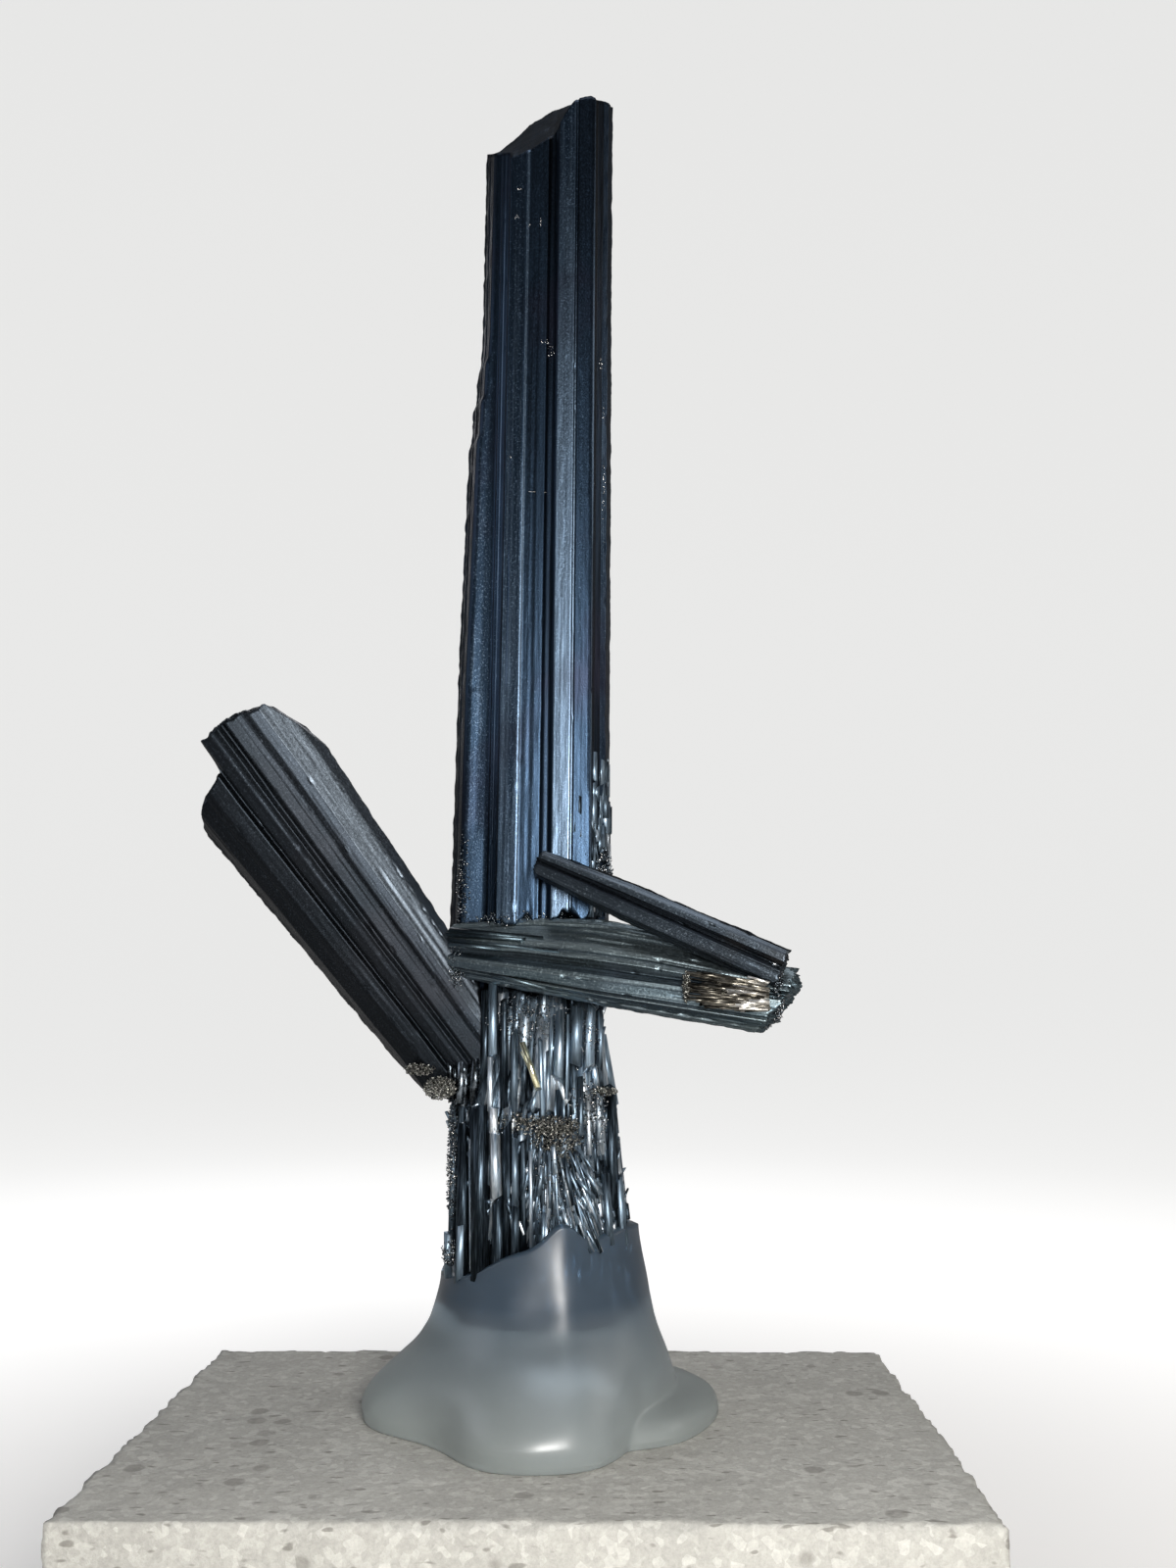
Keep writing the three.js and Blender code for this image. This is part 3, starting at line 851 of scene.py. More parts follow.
BRONZE = SplinterFinish(
    "stibnite_bronze_tarnish", "#262420", "#938e83", "#fcf9f3", (1.2, 0.14, 0.14), 0.34, 0.15
)
DRUSE = SplinterFinish("stibnite_bronze_druse", "#1d1d1d", "#8a8a84", "#f4f3ec", (0.2, 0.2, 0.2), 0.32)
PALE = SplinterFinish("stibnite_pale_cleavage", "#7c7a5c", "#cfcca6", "#fbf9e6", (0.15, 0.15, 1.5), 0.22)


class Slot(Enum):
    """Material slots of the record."""

    DARK = "dark_prism"
    GREY = "grey_prism"
    NEEDLES = "etched_needles"
    BRONZE = "bronze_fibre"
    PALE = "pale_splinter"
    RESIN = "frosted_resin"
    STONE = "pale_stone"


def place_piece(
    surface: Surface, name: str, material: bpy.types.Material, node: str
) -> bpy.types.Object:
    """Makes a piece, dresses it, and ties it to the frame.

    Args:
        surface: Its corners and faces.
        name: Its name.
        material: Its finish.
        node: The CAD node that it stands for.

    Returns:
        The piece.
    """
    piece = surface.to_object(name)
    piece.data.materials.append(material)
    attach(piece, "root")
    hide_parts(node)
    low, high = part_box(node)
    own = surface.corners * MM
    over = max(float((np.array(low) - own.min(0)).max()), float((own.max(0) - np.array(high)).max()))
    log.info("%s: %d faces, %.1f mm past its solid's box", name, len(surface.faces), over / MM)
    return piece


# ---------------------------------------------------------------- the crystals

# Sections of the prisms: x, y and the tone of the facet that starts there. The tones are partly the facets'
# own tone and partly painted highlight and shade: bright on facets turned towards the light by the lens, dark
# on facets turned away from it.
TALL_OUTLINE = (
    (-5.6, 1.9, 0.2), (-4.75, -0.2, 0.3), (-4.5, -0.42, 0.48), (-4.0, -0.55, 0.22), (-3.9, -0.85, 0.45),
    (-3.64, -0.98, 0.85), (-3.58, -1.1, 0.4), (-3.3, -1.25, 0.7), (-3.22, -1.5, 0.15), (-3.12, -2.52, 0.58),
    (-1.62, -2.88, 0.9), (-1.44, -2.72, 0.36), (-0.5, -2.82, 0.42), (0.15, -2.84, 0.15), (0.4, -2.58, 0.14),
    (0.78, -2.56, 0.24), (1.12, -2.95, 0.82), (2.48, -3.12, 0.15), (2.56, -3.0, 0.8), (2.68, -3.0, 0.15),
    (2.75, -3.1, 0.4), (4.1, -2.82, 0.7), (4.2, -2.65, 0.1), (4.35, -2.05, 0.15), (4.8, -1.6, 0.5),
    (5.25, -1.2, 0.3), (5.6, 0.3, 0.2), (5.55, 1.7, 0.2),
    (5.1, 2.6, 0.5), (5.25, 4.1, 0.3), (4.0, 5.6, 0.6), (2.6, 5.9, 0.2), (2.2, 6.6, 0.45),
    (0.4, 6.9, 0.15), (-0.1, 6.3, 0.3), (-1.8, 6.6, 0.6), (-3.6, 5.4, 0.1), (-4.4, 5.2, 0.5),
    (-5.3, 3.7, 0.2), (-5.15, 2.9, 0.4),
)

LEANING_OUTLINE = (
    (-5.85, 0.6, 0.03), (-4.9, -1.6, 0.08), (-3.2, -2.9, 0.15), (-1.95, -3.2, 0.03), (-1.6, -2.75, 0.45),
    (-1.52, -2.85, 0.15), (-1.3, -3.4, 0.18), (-0.5, -3.85, 0.3), (-0.1, -3.95, 0.14), (0.2, -4.1, 0.06),
    (0.6, -3.75, 0.1), (0.95, -4.0, 0.08), (1.9, -3.9, 0.1), (2.3, -3.8, 0.3), (2.4, -3.72, 0.12),
    (2.75, -3.5, 0.25), (3.5, -3.3, 0.8), (5.2, -2.4, 0.85), (5.85, -0.9, 0.6), (5.7, 1.0, 0.3),
    (4.4, 3.2, 0.5), (2.4, 3.9, 0.1), (1.9, 3.5, 0.3), (-0.3, 4.0, 0.2), (-1.3, 3.6, 0.1),
    (-1.6, 3.3, 0.4), (-2.4, 3.3, 0.1), (-2.8, 2.8, 0.3), (-4.8, 2.6, 0.2), (-5.7, 1.6, 0.1),
)

LOWER_CROSS_OUTLINE = (
    (-3.2, 1.0, 0.7), (-3.1, -0.4, 0.75), (-1.75, -1.9, 0.85), (-1.35, -2.35, 0.68), (-0.75, -2.7, 0.1),
    (-0.35, -2.45, 0.2), (0.1, -2.9, 0.6), (0.75, -3.02, 0.5), (1.7, -3.0, 0.03), (1.82, -2.72, 0.05),
    (1.9, -2.75, 0.85), (2.08, -2.85, 0.5), (2.8, -2.1, 0.66), (3.2, -1.4, 0.3), (3.1, 0.8, 0.2),
    (2.2, 2.4, 0.4), (0.6, 2.9, 0.1), (0.2, 2.5, 0.5), (-1.3, 2.8, 0.3), (-2.6, 2.1, 0.15),
)

UPPER_CROSS_OUTLINE = (
    (-1.6, 0.2, 0.3), (-1.38, -0.85, 0.66), (-0.95, -1.2, 0.42), (-0.5, -1.15, 0.08), (-0.1, -0.9, 0.2),
    (0.25, -1.25, 0.42), (1.2, -1.0, 0.3), (1.6, 0.1, 0.2), (1.1, 1.1, 0.4), (0.0, 1.35, 0.1),
    (-1.0, 1.1, 0.3),
)


@dataclass
class Crystals:
    """The four striated prisms of the spray."""

    tall_axis: Axis = Axis((-0.4, 0.0, 52.7), (0.25, 0.0, 123.2))
    leaning_axis: Axis = Axis((-8.12, 0.0, 50.04), (-21.6, -5.0, 68.34))
    lower_axis: Axis = Axis((-7.3, -0.8, 55.4), (18.3, -7.2, 52.0))
    upper_axis: Axis = Axis((0.6, -4.6, 62.1), (18.1, -9.3, 54.1))

    def tall(self) -> StriatedPrism:
        """The tall prism, stepped out on its left side below a growth ledge, with a hollow sloping top."""
        return StriatedPrism(
            name="tall_prism",
            axis=self.tall_axis,
            outline=TALL_OUTLINE,
            striae=Striae(count=120, width=(0.15, 0.6), depth=0.05, reach=(0.1, 1.1)),
            chips=Chips(count=150, width=0.15, length=(0.1, 0.4), depth=0.16),
            seed=11,
            rows=235,
            foot_rim=((-8, 5.2), (-4, 5.0), (0, 5.6), (3, 6.0), (6, 5.4)),
            foot_drop_back=(0.5, 2.6, 5.4),
            foot_break=(0.5, 0.7),
            tip_rim=(
                (-5, 0.2), (-3, 0), (-0.9, 1.0), (0.6, 2.0), (1.6, 4.0), (2.3, 5.0), (3.7, 5.5), (5.5, 5.2),
            ),
            tip_rim_back=(
                (-5, 6.2), (-3.5, 7.7), (-2.1, 9.2), (0.1, 10.6), (2.2, 11.2), (3.7, 11.3), (5.5, 9.8),
            ),
            rim_depths=(-2.6, 6.4),
            tip_break=(0.12, 1.6),
            growth_down=((0, 1.03), (1, 1)),
            growth_up=((0, 1.03), (1, 1)),
            growth_back=((0, 1.03), (1, 1)),
            ledge=(
                (0, 1.5), (25, 1.35), (43, 1.0), (46, 0.92), (46.5, 0.72), (49.5, 0.66), (50, 0.42),
                (53, 0.34),
                (53.5, 0.12), (56, 0.02), (100, 0),
            ),
            ledge_edge=(-4.0, -4.5),
            raggedness=0.05,
            # Painted shade: the facets darken over the upper part, where the light from the front falls off.
            dimming=((0.4, 1), (0.95, 0.72)),
        )

    def leaning(self) -> StriatedPrism:
        """The short prism that leans to the left: two parallel prisms grown into one, the left one lower."""
        return StriatedPrism(
            name="leaning_prism",
            axis=self.leaning_axis,
            outline=LEANING_OUTLINE,
            striae=Striae(count=90, width=(0.15, 0.6), depth=0.07, reach=(0.15, 1.2)),
            chips=Chips(count=150, width=0.17, length=(0.12, 0.5), depth=0.18),
            seed=23,
            rows=150,
            foot_rim=(
                (-5.9, 0), (-5.2, -3.2), (-2.4, -4.2), (0.1, -3.6), (2.1, -4.2), (3.6, -1.5), (5.5, 1.0),
                (5.9, 2.5),
            ),
            foot_break=(0.4, 0.6),
            tip_rim=(
                (-5.9, 0), (-4.7, 1.2), (-3.5, 1.9), (-2.4, 2.3), (-1.6, 2.7), (-1.45, 5.4),
                (2.0, 5.6), (4.1, 4.8), (5.2, 2.3), (5.9, -0.8),
            ),
            tip_break=(0.22, 0.8),
            growth_down=((0, 0.8), (1, 1)),
            growth_up=((0, 0.8), (1, 1)),
            growth_back=((0, 0.8), (1, 1)),
        )

    def lower_cross(self) -> StriatedPrism:
        """The thick prism that crosses under the tall one's foot."""
        return StriatedPrism(
            name="lower_cross_prism",
            axis=self.lower_axis,
            outline=LOWER_CROSS_OUTLINE,
            column_width=0.07,
            striae=Striae(count=130, width=(0.08, 0.4), depth=0.09, reach=(0.15, 1.0)),
            chips=Chips(count=90, width=0.18, length=(0.15, 0.6), depth=0.2),
            seed=37,
            rows=150,
            foot_rim=((-3.2, 0.2), (0.8, -0.1), (1.6, 0.2), (3.2, 1.8)),
            foot_break=(0.3, 0.4),
            tip_rim=((-3.2, 0.7), (-1, 0.9), (0.6, 0.2), (2, -0.5), (3.2, -1.6)),
            tip_break=(0.35, 0.5),
            growth_up=((0, 0.78), (0.25, 1.2), (0.45, 1.34), (0.62, 1.26), (1, 0.76)),
            growth_down=((0, 0.5), (0.5, 0.74), (1, 0.88)),
            growth_back=((0, 0.75), (0.5, 1.0), (1, 0.92)),
        )

    def upper_cross(self) -> StriatedPrism:
        """The slender prism that starts on the front of the tall one."""
        return StriatedPrism(
            name="upper_cross_prism",
            axis=self.upper_axis,
            outline=UPPER_CROSS_OUTLINE,
            striae=Striae(count=70, width=(0.06, 0.3), depth=0.06, reach=(0.2, 1.2)),
            chips=Chips(count=20, width=0.1, length=(0.1, 0.4), depth=0.1),
            seed=41,
            rows=110,
            column_width=0.05,
            foot_rim=((-1.6, -0.4), (-0.4, -0.8), (1.6, -0.5)),
            foot_break=(0.2, 0.3),
            tip_break=(0.2, 0.4),
            growth_up=((0, 0.72), (0.35, 0.95), (1, 1)),
            growth_down=((0, 0.72), (0.35, 0.95), (1, 1)),
            growth_back=((0, 0.72), (0.35, 0.95), (1, 1)),
        )

    def build(self) -> None:
        """Builds and dresses the four prisms."""
        dark, sooty, grey = DARK_PRISM.material(), SOOTY_PRISM.material(), GREY_PRISM.material()
        slate = SLATE_PRISM.material()
        made = (
            (self.tall(), dark, Slot.DARK, "tall_crystal"),
            (self.leaning(), sooty, Slot.DARK, "leaning_crystal"),
            (self.lower_cross(), grey, Slot.GREY, "lower_cross_crystal"),
            (self.upper_cross(), slate, Slot.DARK, "upper_cross_crystal"),
        )
        for prism, material, slot, node in made:
            place_piece(prism.surface(), prism.name, material, node)


# ---------------------------------------------------------------- the stem


@dataclass
class NeedleStem:
    """The bundle of etched needles: a fluted core under layers of ever shorter and thinner needles."""

    left: Table = (
        (27, -6.9), (31.5, -7.2), (33.5, -7.0), (41.5, -7.2), (43.5, -7.4), (44.5, -5.2), (52.5, -4.8),
    )
    right: Table = (
        (27, 6.9), (34, 7.1), (36.5, 6.6), (39, 6.3), (44.6, 5.95), (45.4, 4.5), (46.4, 4.5), (46.8, 4.9),
        (52.5, 5.0),
    )
    front: Table = ((27, -5.2), (34, -4.9), (43, -4.1), (46, -3.1), (52.5, -2.8))
    back: Table = ((27, 9.2), (34, 9.0), (43, 8.0), (46, 6.9), (52.5, 6.8))
    bottom: float = 27.0
    top: float = 52.4
    seed: int = 51

    def envelope(self, angle: Array, height: Array, share: Array) -> Array:
        """Places on the bundle's outside, or inside it at a share of the way out.

        At each height the outside is an oval whose four half axes follow the tables.

        Args:
            angle: Angle round the axis, counterclockwise from +X.
            height: Height above the block's underside.
            share: Share of the way from the middle.

        Returns:
            Points, one a row.
        """
        middle_x = 0.5 * (read_table(self.left, height) + read_table(self.right, height))
        half_x = 0.5 * (read_table(self.right, height) - read_table(self.left, height))
        middle_y = 0.5 * (read_table(self.front, height) + read_table(self.back, height))
        half_y = 0.5 * (read_table(self.back, height) - read_table(self.front, height))
        power = 0.84
        share = share * (1 - 0.05 * smooth_step(34.5, 31.5, height))
        cos, sin = np.cos(angle), np.sin(angle)
        x = middle_x + half_x * share * np.sign(cos) * np.abs(cos) ** power
        y = middle_y + half_y * share * np.sign(sin) * np.abs(sin) ** power
        return np.stack([x, y, height + 0 * angle], -1)

    def core(self) -> Surface:
        """The fluted dark body under the needles, as rings of the envelope with a wavy reach."""
        columns, rows = 180, 60
        angle = np.linspace(0, 2 * np.pi, columns, endpoint=False)
        heights = np.linspace(self.bottom, self.top - 0.3, rows)
        grid_angle, grid_height = np.meshgrid(angle, heights)
        places = np.stack([grid_angle.ravel() * 4, grid_height.ravel() * 0.25], -1)
        wave = value_noise(places, 1.0, self.seed) * 0.07
        corners = self.envelope(grid_angle.ravel(), grid_height.ravel(), 0.8 + wave)
        ends = np.array([[0.0, 2.0, self.bottom], [0.0, 2.0, self.top - 0.3]])
        total = rows * columns
        ring = np.arange(columns)
        faces = np.concatenate([
            ring_faces(rows, columns),
            fan_faces(ring, total, False),
            fan_faces(ring + total - columns, total + 1, True),
        ])
        tones = np.full(len(faces), 0.12)
        return Surface(np.concatenate([corners, ends]), faces, tones, np.zeros((len(faces), 4, 2)))

    def layer(
        self, count: int, length: Pair, width: Pair,
        share: Pair, tilt: float, seed: int, sides: int, patchy: float = 0.0,
    ) -> Surface:
        """One layer of needles scattered over the envelope.

        Args:
            count: How many are tried.
            length: Shortest and longest.
            width: Thinnest and thickest.
            share: How far out they lie, as shares of the envelope.
            tilt: Spread of their sideways lean, as a share of their length.
            seed: Picks their places.
            sides: Number of sides of each needle.
            patchy: Above 0, needles grow only where a slow noise is over this level.

        Returns:
            The needles.
        """
        rng = np.random.default_rng(seed)
        angle = rng.uniform(0, 2 * np.pi, count)
        reach = rng.uniform(*length, count)
        low = rng.uniform(self.bottom + 1, self.top - 0.6 * reach, count)
        if patchy:
            keep = value_noise(np.stack([angle * 1.6, low * 0.28], -1), 1.0, seed + 2) > patchy - 0.5
            angle, reach, low = angle[keep], reach[keep], low[keep]
            count = len(angle)
        high = np.minimum(low + reach, self.top)
        out = rng.uniform(*share, count)
        feet = self.envelope(angle, low, out)
        tips = self.envelope(angle, high, out + rng.normal(0, 0.01, count))
        tips[:, :2] += rng.normal(0, tilt, (count, 2)) * (high - low)[:, None]
        widths = rng.uniform(*width, count)
        turned = angle + rng.normal(0, 0.45, count)
        facing = np.stack([np.cos(turned), np.sin(turned), np.zeros(count)], -1)
        return needle_surface(feet, tips, widths, seed + 1, sides, facing)

    def leading_needles(self) -> Surface:
        """The large smooth needles that stand out on the front, each listed one by one."""
        rows = np.array([
            # foot x, y, z, tip x, y, z, width, tone, side that the front face turns to
            (-3.75, -3.7, 43.3, -3.78, -3.4, 47.5, 0.5, 0.85, 0.1),
            (-3.4, -4.1, 41.7, -3.48, -3.95, 43.7, 0.75, 1.0, 0.12),
            (-3.1, -4.35, 37.1, -3.3, -4.1, 41.7, 0.95, 0.9, 0.12),
            (-3.0, -4.4, 32.0, -3.1, -4.3, 37.0, 0.95, 0.15, -0.3),
            (-4.35, -3.9, 31.5, -4.6, -3.5, 43.7, 1.5, 0.18, -0.35),
            (-5.05, -3.4, 31.6, -5.3, -2.9, 41.3, 0.35, 0.6, 0.1),
            (-5.6, -3.0, 31.0, -5.8, -2.5, 42.0, 1.1, 0.1, -0.5),
            (-2.35, -4.3, 32.0, -2.45, -4.0, 42.3, 0.95, 0.12, 0.5),
            (-1.68, -4.65, 36.6, -1.79, -4.35, 41.5, 0.62, 0.6, 0.15),
            (-1.7, -4.75, 32.2, -1.68, -4.6, 36.6, 0.7, 0.3, 0.1),
            (-1.05, -4.45, 33.0, -1.2, -4.2, 41.3, 0.7, 0.08, -0.3),
            (-0.48, -4.75, 33.6, -0.59, -4.5, 40.6, 0.36, 0.65, 0.12),
            (-3.55, -3.2, 47.5, -3.64, -2.9, 53.0, 0.85, 0.5, 0.05),
            (-4.3, -2.4, 44.5, -4.3, -2.1, 52.4, 0.8, 0.3, -0.2),
            (-2.7, -3.1, 43.8, -2.8, -2.9, 51.8, 0.7, 0.25, 0.3),
            (-1.9, -3.5, 42.4, -1.95, -3.1, 49.5, 0.65, 0.45, 0.1),
            (0.31, -3.7, 42.9, 0.06, -3.3, 48.8, 0.5, 0.5, 0.15),
            (0.72, -3.75, 43.5, 0.68, -3.3, 47.9, 0.42, 0.7, 0.12),
            (1.42, -3.55, 45.9, 1.63, -3.2, 51.0, 0.85, 0.62, 0.15),
            (0.82, -3.4, 46.2, 0.95, -3.1, 50.5, 0.45, 0.5, 0.1),
            (2.1, -3.3, 44.2, 2.2, -3.0, 50.8, 0.5, 0.3, 0.3),
            (2.76, -2.95, 46.9, 2.9, -2.7, 51.3, 1.1, 0.55, 0.2),
            (3.82, -2.6, 46.6, 3.98, -2.4, 51.5, 1.0, 0.6, 0.15),
            (4.58, -2.1, 46.6, 4.66, -1.9, 51.2, 0.6, 0.4, 0.3),
            (4.65, -3.0, 41.3, 4.58, -2.6, 44.7, 0.62, 0.65, 0.15),
            (5.7, -1.5, 36.0, 5.55, -1.1, 44.9, 1.15, 0.22, 0.5),
            (3.83, -3.5, 40.2, 3.76, -3.2, 44.6, 0.5, 0.8, 0.12),
            (3.2, -3.7, 41.5, 3.2, -3.4, 46.0, 0.5, 0.3, 0.3),
            (4.28, -4.0, 33.8, 3.91, -3.6, 39.7, 0.7, 0.75, 0.12),
            (5.45, -3.2, 33.4, 5.05, -2.8, 38.7, 0.75, 0.5, 0.2),
            (6.5, -1.8, 33.0, 6.1, -1.5, 38.2, 0.8, 0.4, 0.4),
            (-6.75, -1.6, 33.5, -6.7, -1.3, 43.8, 0.7, 0.35, -0.1),
            (-6.1, -2.3, 33.0, -6.05, -1.9, 43.6, 0.6, 0.3, 0.1),
            (-5.95, -3.2, 31.0, -5.88, -3.0, 35.0, 0.75, 0.55, 0.1),
            (-6.9, -2.3, 31.0, -7.0, -2.2, 34.2, 0.7, 0.6, 0.0),
        ])
        facing = np.stack([rows[:, 8], -np.ones(len(rows)), np.zeros(len(rows))], -1)
        tones = np.interp(rows[:, 7], (0, 0.3, 1), (-0.15, 0.12, 1))
        return needle_surface(
            rows[:, :3], rows[:, 3:6], rows[:, 6], self.seed + 7, 5, unit(facing), tones, chance=0.35
        )

    def fan(self) -> Surface:
        """The fan of fine fibres under the druse patch, spreading downwards to the resin."""
        rng = np.random.default_rng(self.seed + 8)
        count = 170
        spread_x = rng.uniform(-1, 1, count)
        high = rng.uniform(35.5, 41.0, count)
        low = high - rng.uniform(1.2, 5.0, count)
        depth = rng.uniform(-5.0, -4.45, count)
        tips = np.stack([1.4 + spread_x * 1.9, depth + 0.45, high], -1)
        feet = np.stack([1.8 + spread_x * 3.0, depth + np.abs(spread_x) * 0.5, np.maximum(low, 33.2)], -1)
        widths = rng.uniform(0.14, 0.45, count)
        return needle_surface(feet, tips, widths, self.seed + 9, 4, None, rng.beta(1.0, 1.3, count))

    def build(self) -> None:
        """Builds and dresses the stem."""
        material = NEEDLES.material()
        long_ones = self.layer(120, (7, 18), (1.0, 2.0), (0.78, 0.87), 0.003, self.seed + 1, 6)
        middling = self.layer(760, (1.0, 6), (0.35, 0.95), (0.86, 0.96), 0.006, self.seed + 2, 5)
        short = self.layer(3000, (0.3, 1.8), (0.16, 0.45), (0.92, 0.985), 0.035, self.seed + 3, 4, patchy=0.46)
        place_piece(self.core().joined(long_ones), "stem_core_needles", material, "needle_stem")
        broken = self.layer(1500, (0.3, 1.1), (0.15, 0.42), (0.94, 0.995), 0.35, self.seed + 12, 4, patchy=0.5)
        outer = middling.joined(short).joined(broken).joined(self.leading_needles()).joined(self.fan())
        place_piece(outer, "stem_outer_needles", material, "needle_stem")


# ---------------------------------------------------------------- splinters, druse and crumbs


@dataclass
class BrokenPieces:
    """Splinters and grains on the breaks: bronze fibres, the pale splinter, golden druse, bright crumbs."""

    seed: int = 71

    def bronze_fibres(self) -> Surface:
        """Fibres side by side along the lower cross prism, in the break in its front.

        They are darker in the middle of the break and brightest near its right end.
        """
        rng = np.random.default_rng(self.seed)
        count = 190
        drop = rng.uniform(-1.25, 1.3, count)
        begins = rng.uniform(0, 4.6, count)
        reach = rng.uniform(1.0, 3.6, count)
        ends = np.minimum(begins + reach, 6.0)
        narrowing = 1 - 0.22 * ends / 6.0
        lift = rng.uniform(-0.2, 0.15, count)
        feet = np.stack([10.9 + begins, -9.35 - 0.24 * begins - lift, 52.75 - 0.1 * begins + drop], -1)
        tips = np.stack([10.9 + ends, -9.35 - 0.24 * ends - lift, 52.75 - 0.1 * ends + drop * narrowing], -1)
        widths = rng.uniform(0.1, 0.3, count)
        middle = 0.5 * (begins + ends) / 6.0
        bright = np.interp(middle, (0, 0.12, 0.2, 0.45, 0.65, 1.0), (0.8, 0.5, 0.15, 0.2, 0.8, 0.95))
        tones = np.clip(bright * rng.uniform(0.1, 1.6, count), 0, 1)
        return needle_surface(feet, tips, widths, self.seed + 1, 4, None, tones)

    def pale_splinter(self) -> Surface:
        """The loose pale splinter caught on the front of the stem, with a thin one beside it."""
        feet = np.array([(-0.04, -4.5, 45.2), (-0.3, -4.45, 45.9)])
        tips = np.array([(-1.26, -4.4, 48.6), (-1.3, -4.5, 47.9)])
        tones = np.array([0.75, 0.4])
        return needle_surface(feet, tips, np.array([0.62, 0.3]), self.seed + 3, 4, None, tones, chance=0.4)

    def cluster(self, centre: Point, spread_by: Point, count: int, size: Pair, seed: int) -> Surface:
        """Grains scattered in an oval cloud."""
        rng = np.random.default_rng(seed)
        direction = unit(rng.normal(size=(count, 3)))
        reach = rng.uniform(0.1, 1.0, (count, 1)) ** 0.5
        centres = np.array(centre) + direction * reach * np.array(spread_by)
        return grain_surface(centres, rng.uniform(*size, count), seed + 1)

    def blocks(
        self, axis: Axis, middle: Point, spread_by: Point, count: int,
        width: Pair, length: Pair, seed: int, brightest: float = 1.0,
    ) -> Surface:
        """Short blocks that lie along a prism's axis, scattered in an oval cloud in the prism's own frame.

        Args:
            axis: The prism's axis.
            middle: Middle of the cloud: across, back and along.
            spread_by: Half sizes of the cloud.
            count: How many.
            width: Thinnest and thickest.
            length: Shortest and longest.
            seed: Picks their places.
            brightest: Tone of the brightest.

        Returns:
            The blocks.
        """
        rng = np.random.default_rng(seed)
        direction = unit(rng.normal(size=(count, 3)))
        local = np.array(middle) + direction * rng.uniform(0.1, 1.0, (count, 1)) ** 0.4 * np.array(spread_by)
        half = np.zeros((count, 3))
        half[:, 2] = rng.uniform(*length, count) / 2
        feet, tips = axis.to_part(local - half), axis.to_part(local + half)
        tones = brightest * rng.beta(0.9, 1.3, count)
        return needle_surface(feet, tips, rng.uniform(*width, count), seed + 1, 5, None, tones)

    def golden_druse(self) -> Surface:
        """Golden crust on the broken foot of the leaning prism and in the hollow of the stem."""
        parts = (
            self.cluster((-7.7, -2.7, 45.1), (1.3, 0.9, 0.9), 1300, (0.07, 0.26), self.seed + 11),
            self.cluster((-9.4, -1.9, 46.5), (1.3, 0.8, 0.5), 420, (0.07, 0.22), self.seed + 13),
            self.cluster((0.5, -3.85, 42.4), (3.0, 0.45, 0.8), 900, (0.06, 0.24), self.seed + 15),
            self.cluster((1.2, -3.9, 41.4), (2.2, 0.45, 1.2), 800, (0.06, 0.22), self.seed + 16),
            self.cluster((1.7, -4.0, 39.9), (1.5, 0.4, 1.5), 420, (0.06, 0.22), self.seed + 17),
            self.cluster((4.9, -1.9, 44.8), (1.2, 1.2, 0.35), 420, (0.07, 0.26), self.seed + 19),
            self.cluster((11.0, -9.25, 52.9), (0.3, 0.3, 1.2), 320, (0.08, 0.26), self.seed + 22),
            self.cluster((-2.0, -3.6, 42.6), (1.2, 0.4, 0.9), 260, (0.06, 0.22), self.seed + 20),
        )
        return joined_up(parts)

    def bright_crumbs(self) -> Surface:
        """Glinting crumbs down the stem's left edge, on the broken ends and at the tall prism's foot."""
        spray = Crystals()
        parts = (
            self.cluster((-6.75, -1.5, 39.2), (0.5, 1.2, 5.2), 1100, (0.06, 0.24), self.seed + 21),
            self.cluster((-6.8, -2.0, 32.8), (0.7, 1.2, 1.2), 420, (0.06, 0.28), self.seed + 23),
            self.cluster((-0.9, -3.0, 50.2), (3.4, 0.35, 2.2), 700, (0.06, 0.22), self.seed + 25),
            self.cluster((2.9, -2.7, 49.0), (1.9, 0.5, 2.6), 500, (0.06, 0.22), self.seed + 26),
            self.cluster((3.6, -3.2, 43.0), (1.8, 0.7, 3.0), 700, (0.06, 0.24), self.seed + 27),
            self.cluster((1.2, -4.5, 37.4), (2.6, 0.4, 3.2), 450, (0.06, 0.22), self.seed + 29),
            self.cluster((5.0, -1.7, 61.3), (0.8, 1.2, 2.6), 500, (0.08, 0.34), self.seed + 31),
            self.cluster((-6.3, -0.4, 60.5), (0.6, 1.0, 5.5), 500, (0.06, 0.22), self.seed + 33),
            self.cluster((-1.0, -2.5, 58.2), (4.2, 0.6, 0.7), 500, (0.06, 0.22), self.seed + 35),
            self.cluster((17.7, -8.2, 52.7), (0.6, 1.9, 2.5), 1700, (0.08, 0.34), self.seed + 37),
            self.cluster((-6.6, -2.9, 54.4), (0.8, 0.6, 2.0), 500, (0.06, 0.22), self.seed + 39),
            self.scars(),
            self.blocks(spray.lower_axis, (0.2, -0.2, 25.5), (2.3, 2.0, 0.4), 260,
                        (0.25, 0.5), (0.4, 0.7), self.seed + 41),
            self.blocks(spray.upper_axis, (0.0, 0.0, 19.1), (1.2, 1.0, 0.3), 90,
                        (0.2, 0.45), (0.3, 0.7), self.seed + 43),
            self.blocks(spray.tall_axis, (-5.3, -1.5, -7.0), (1.3, 1.2, 1.4), 70,
                        (0.4, 1.0), (1.4, 3.6), self.seed + 47, 0.35),
        )
        return joined_up(parts)

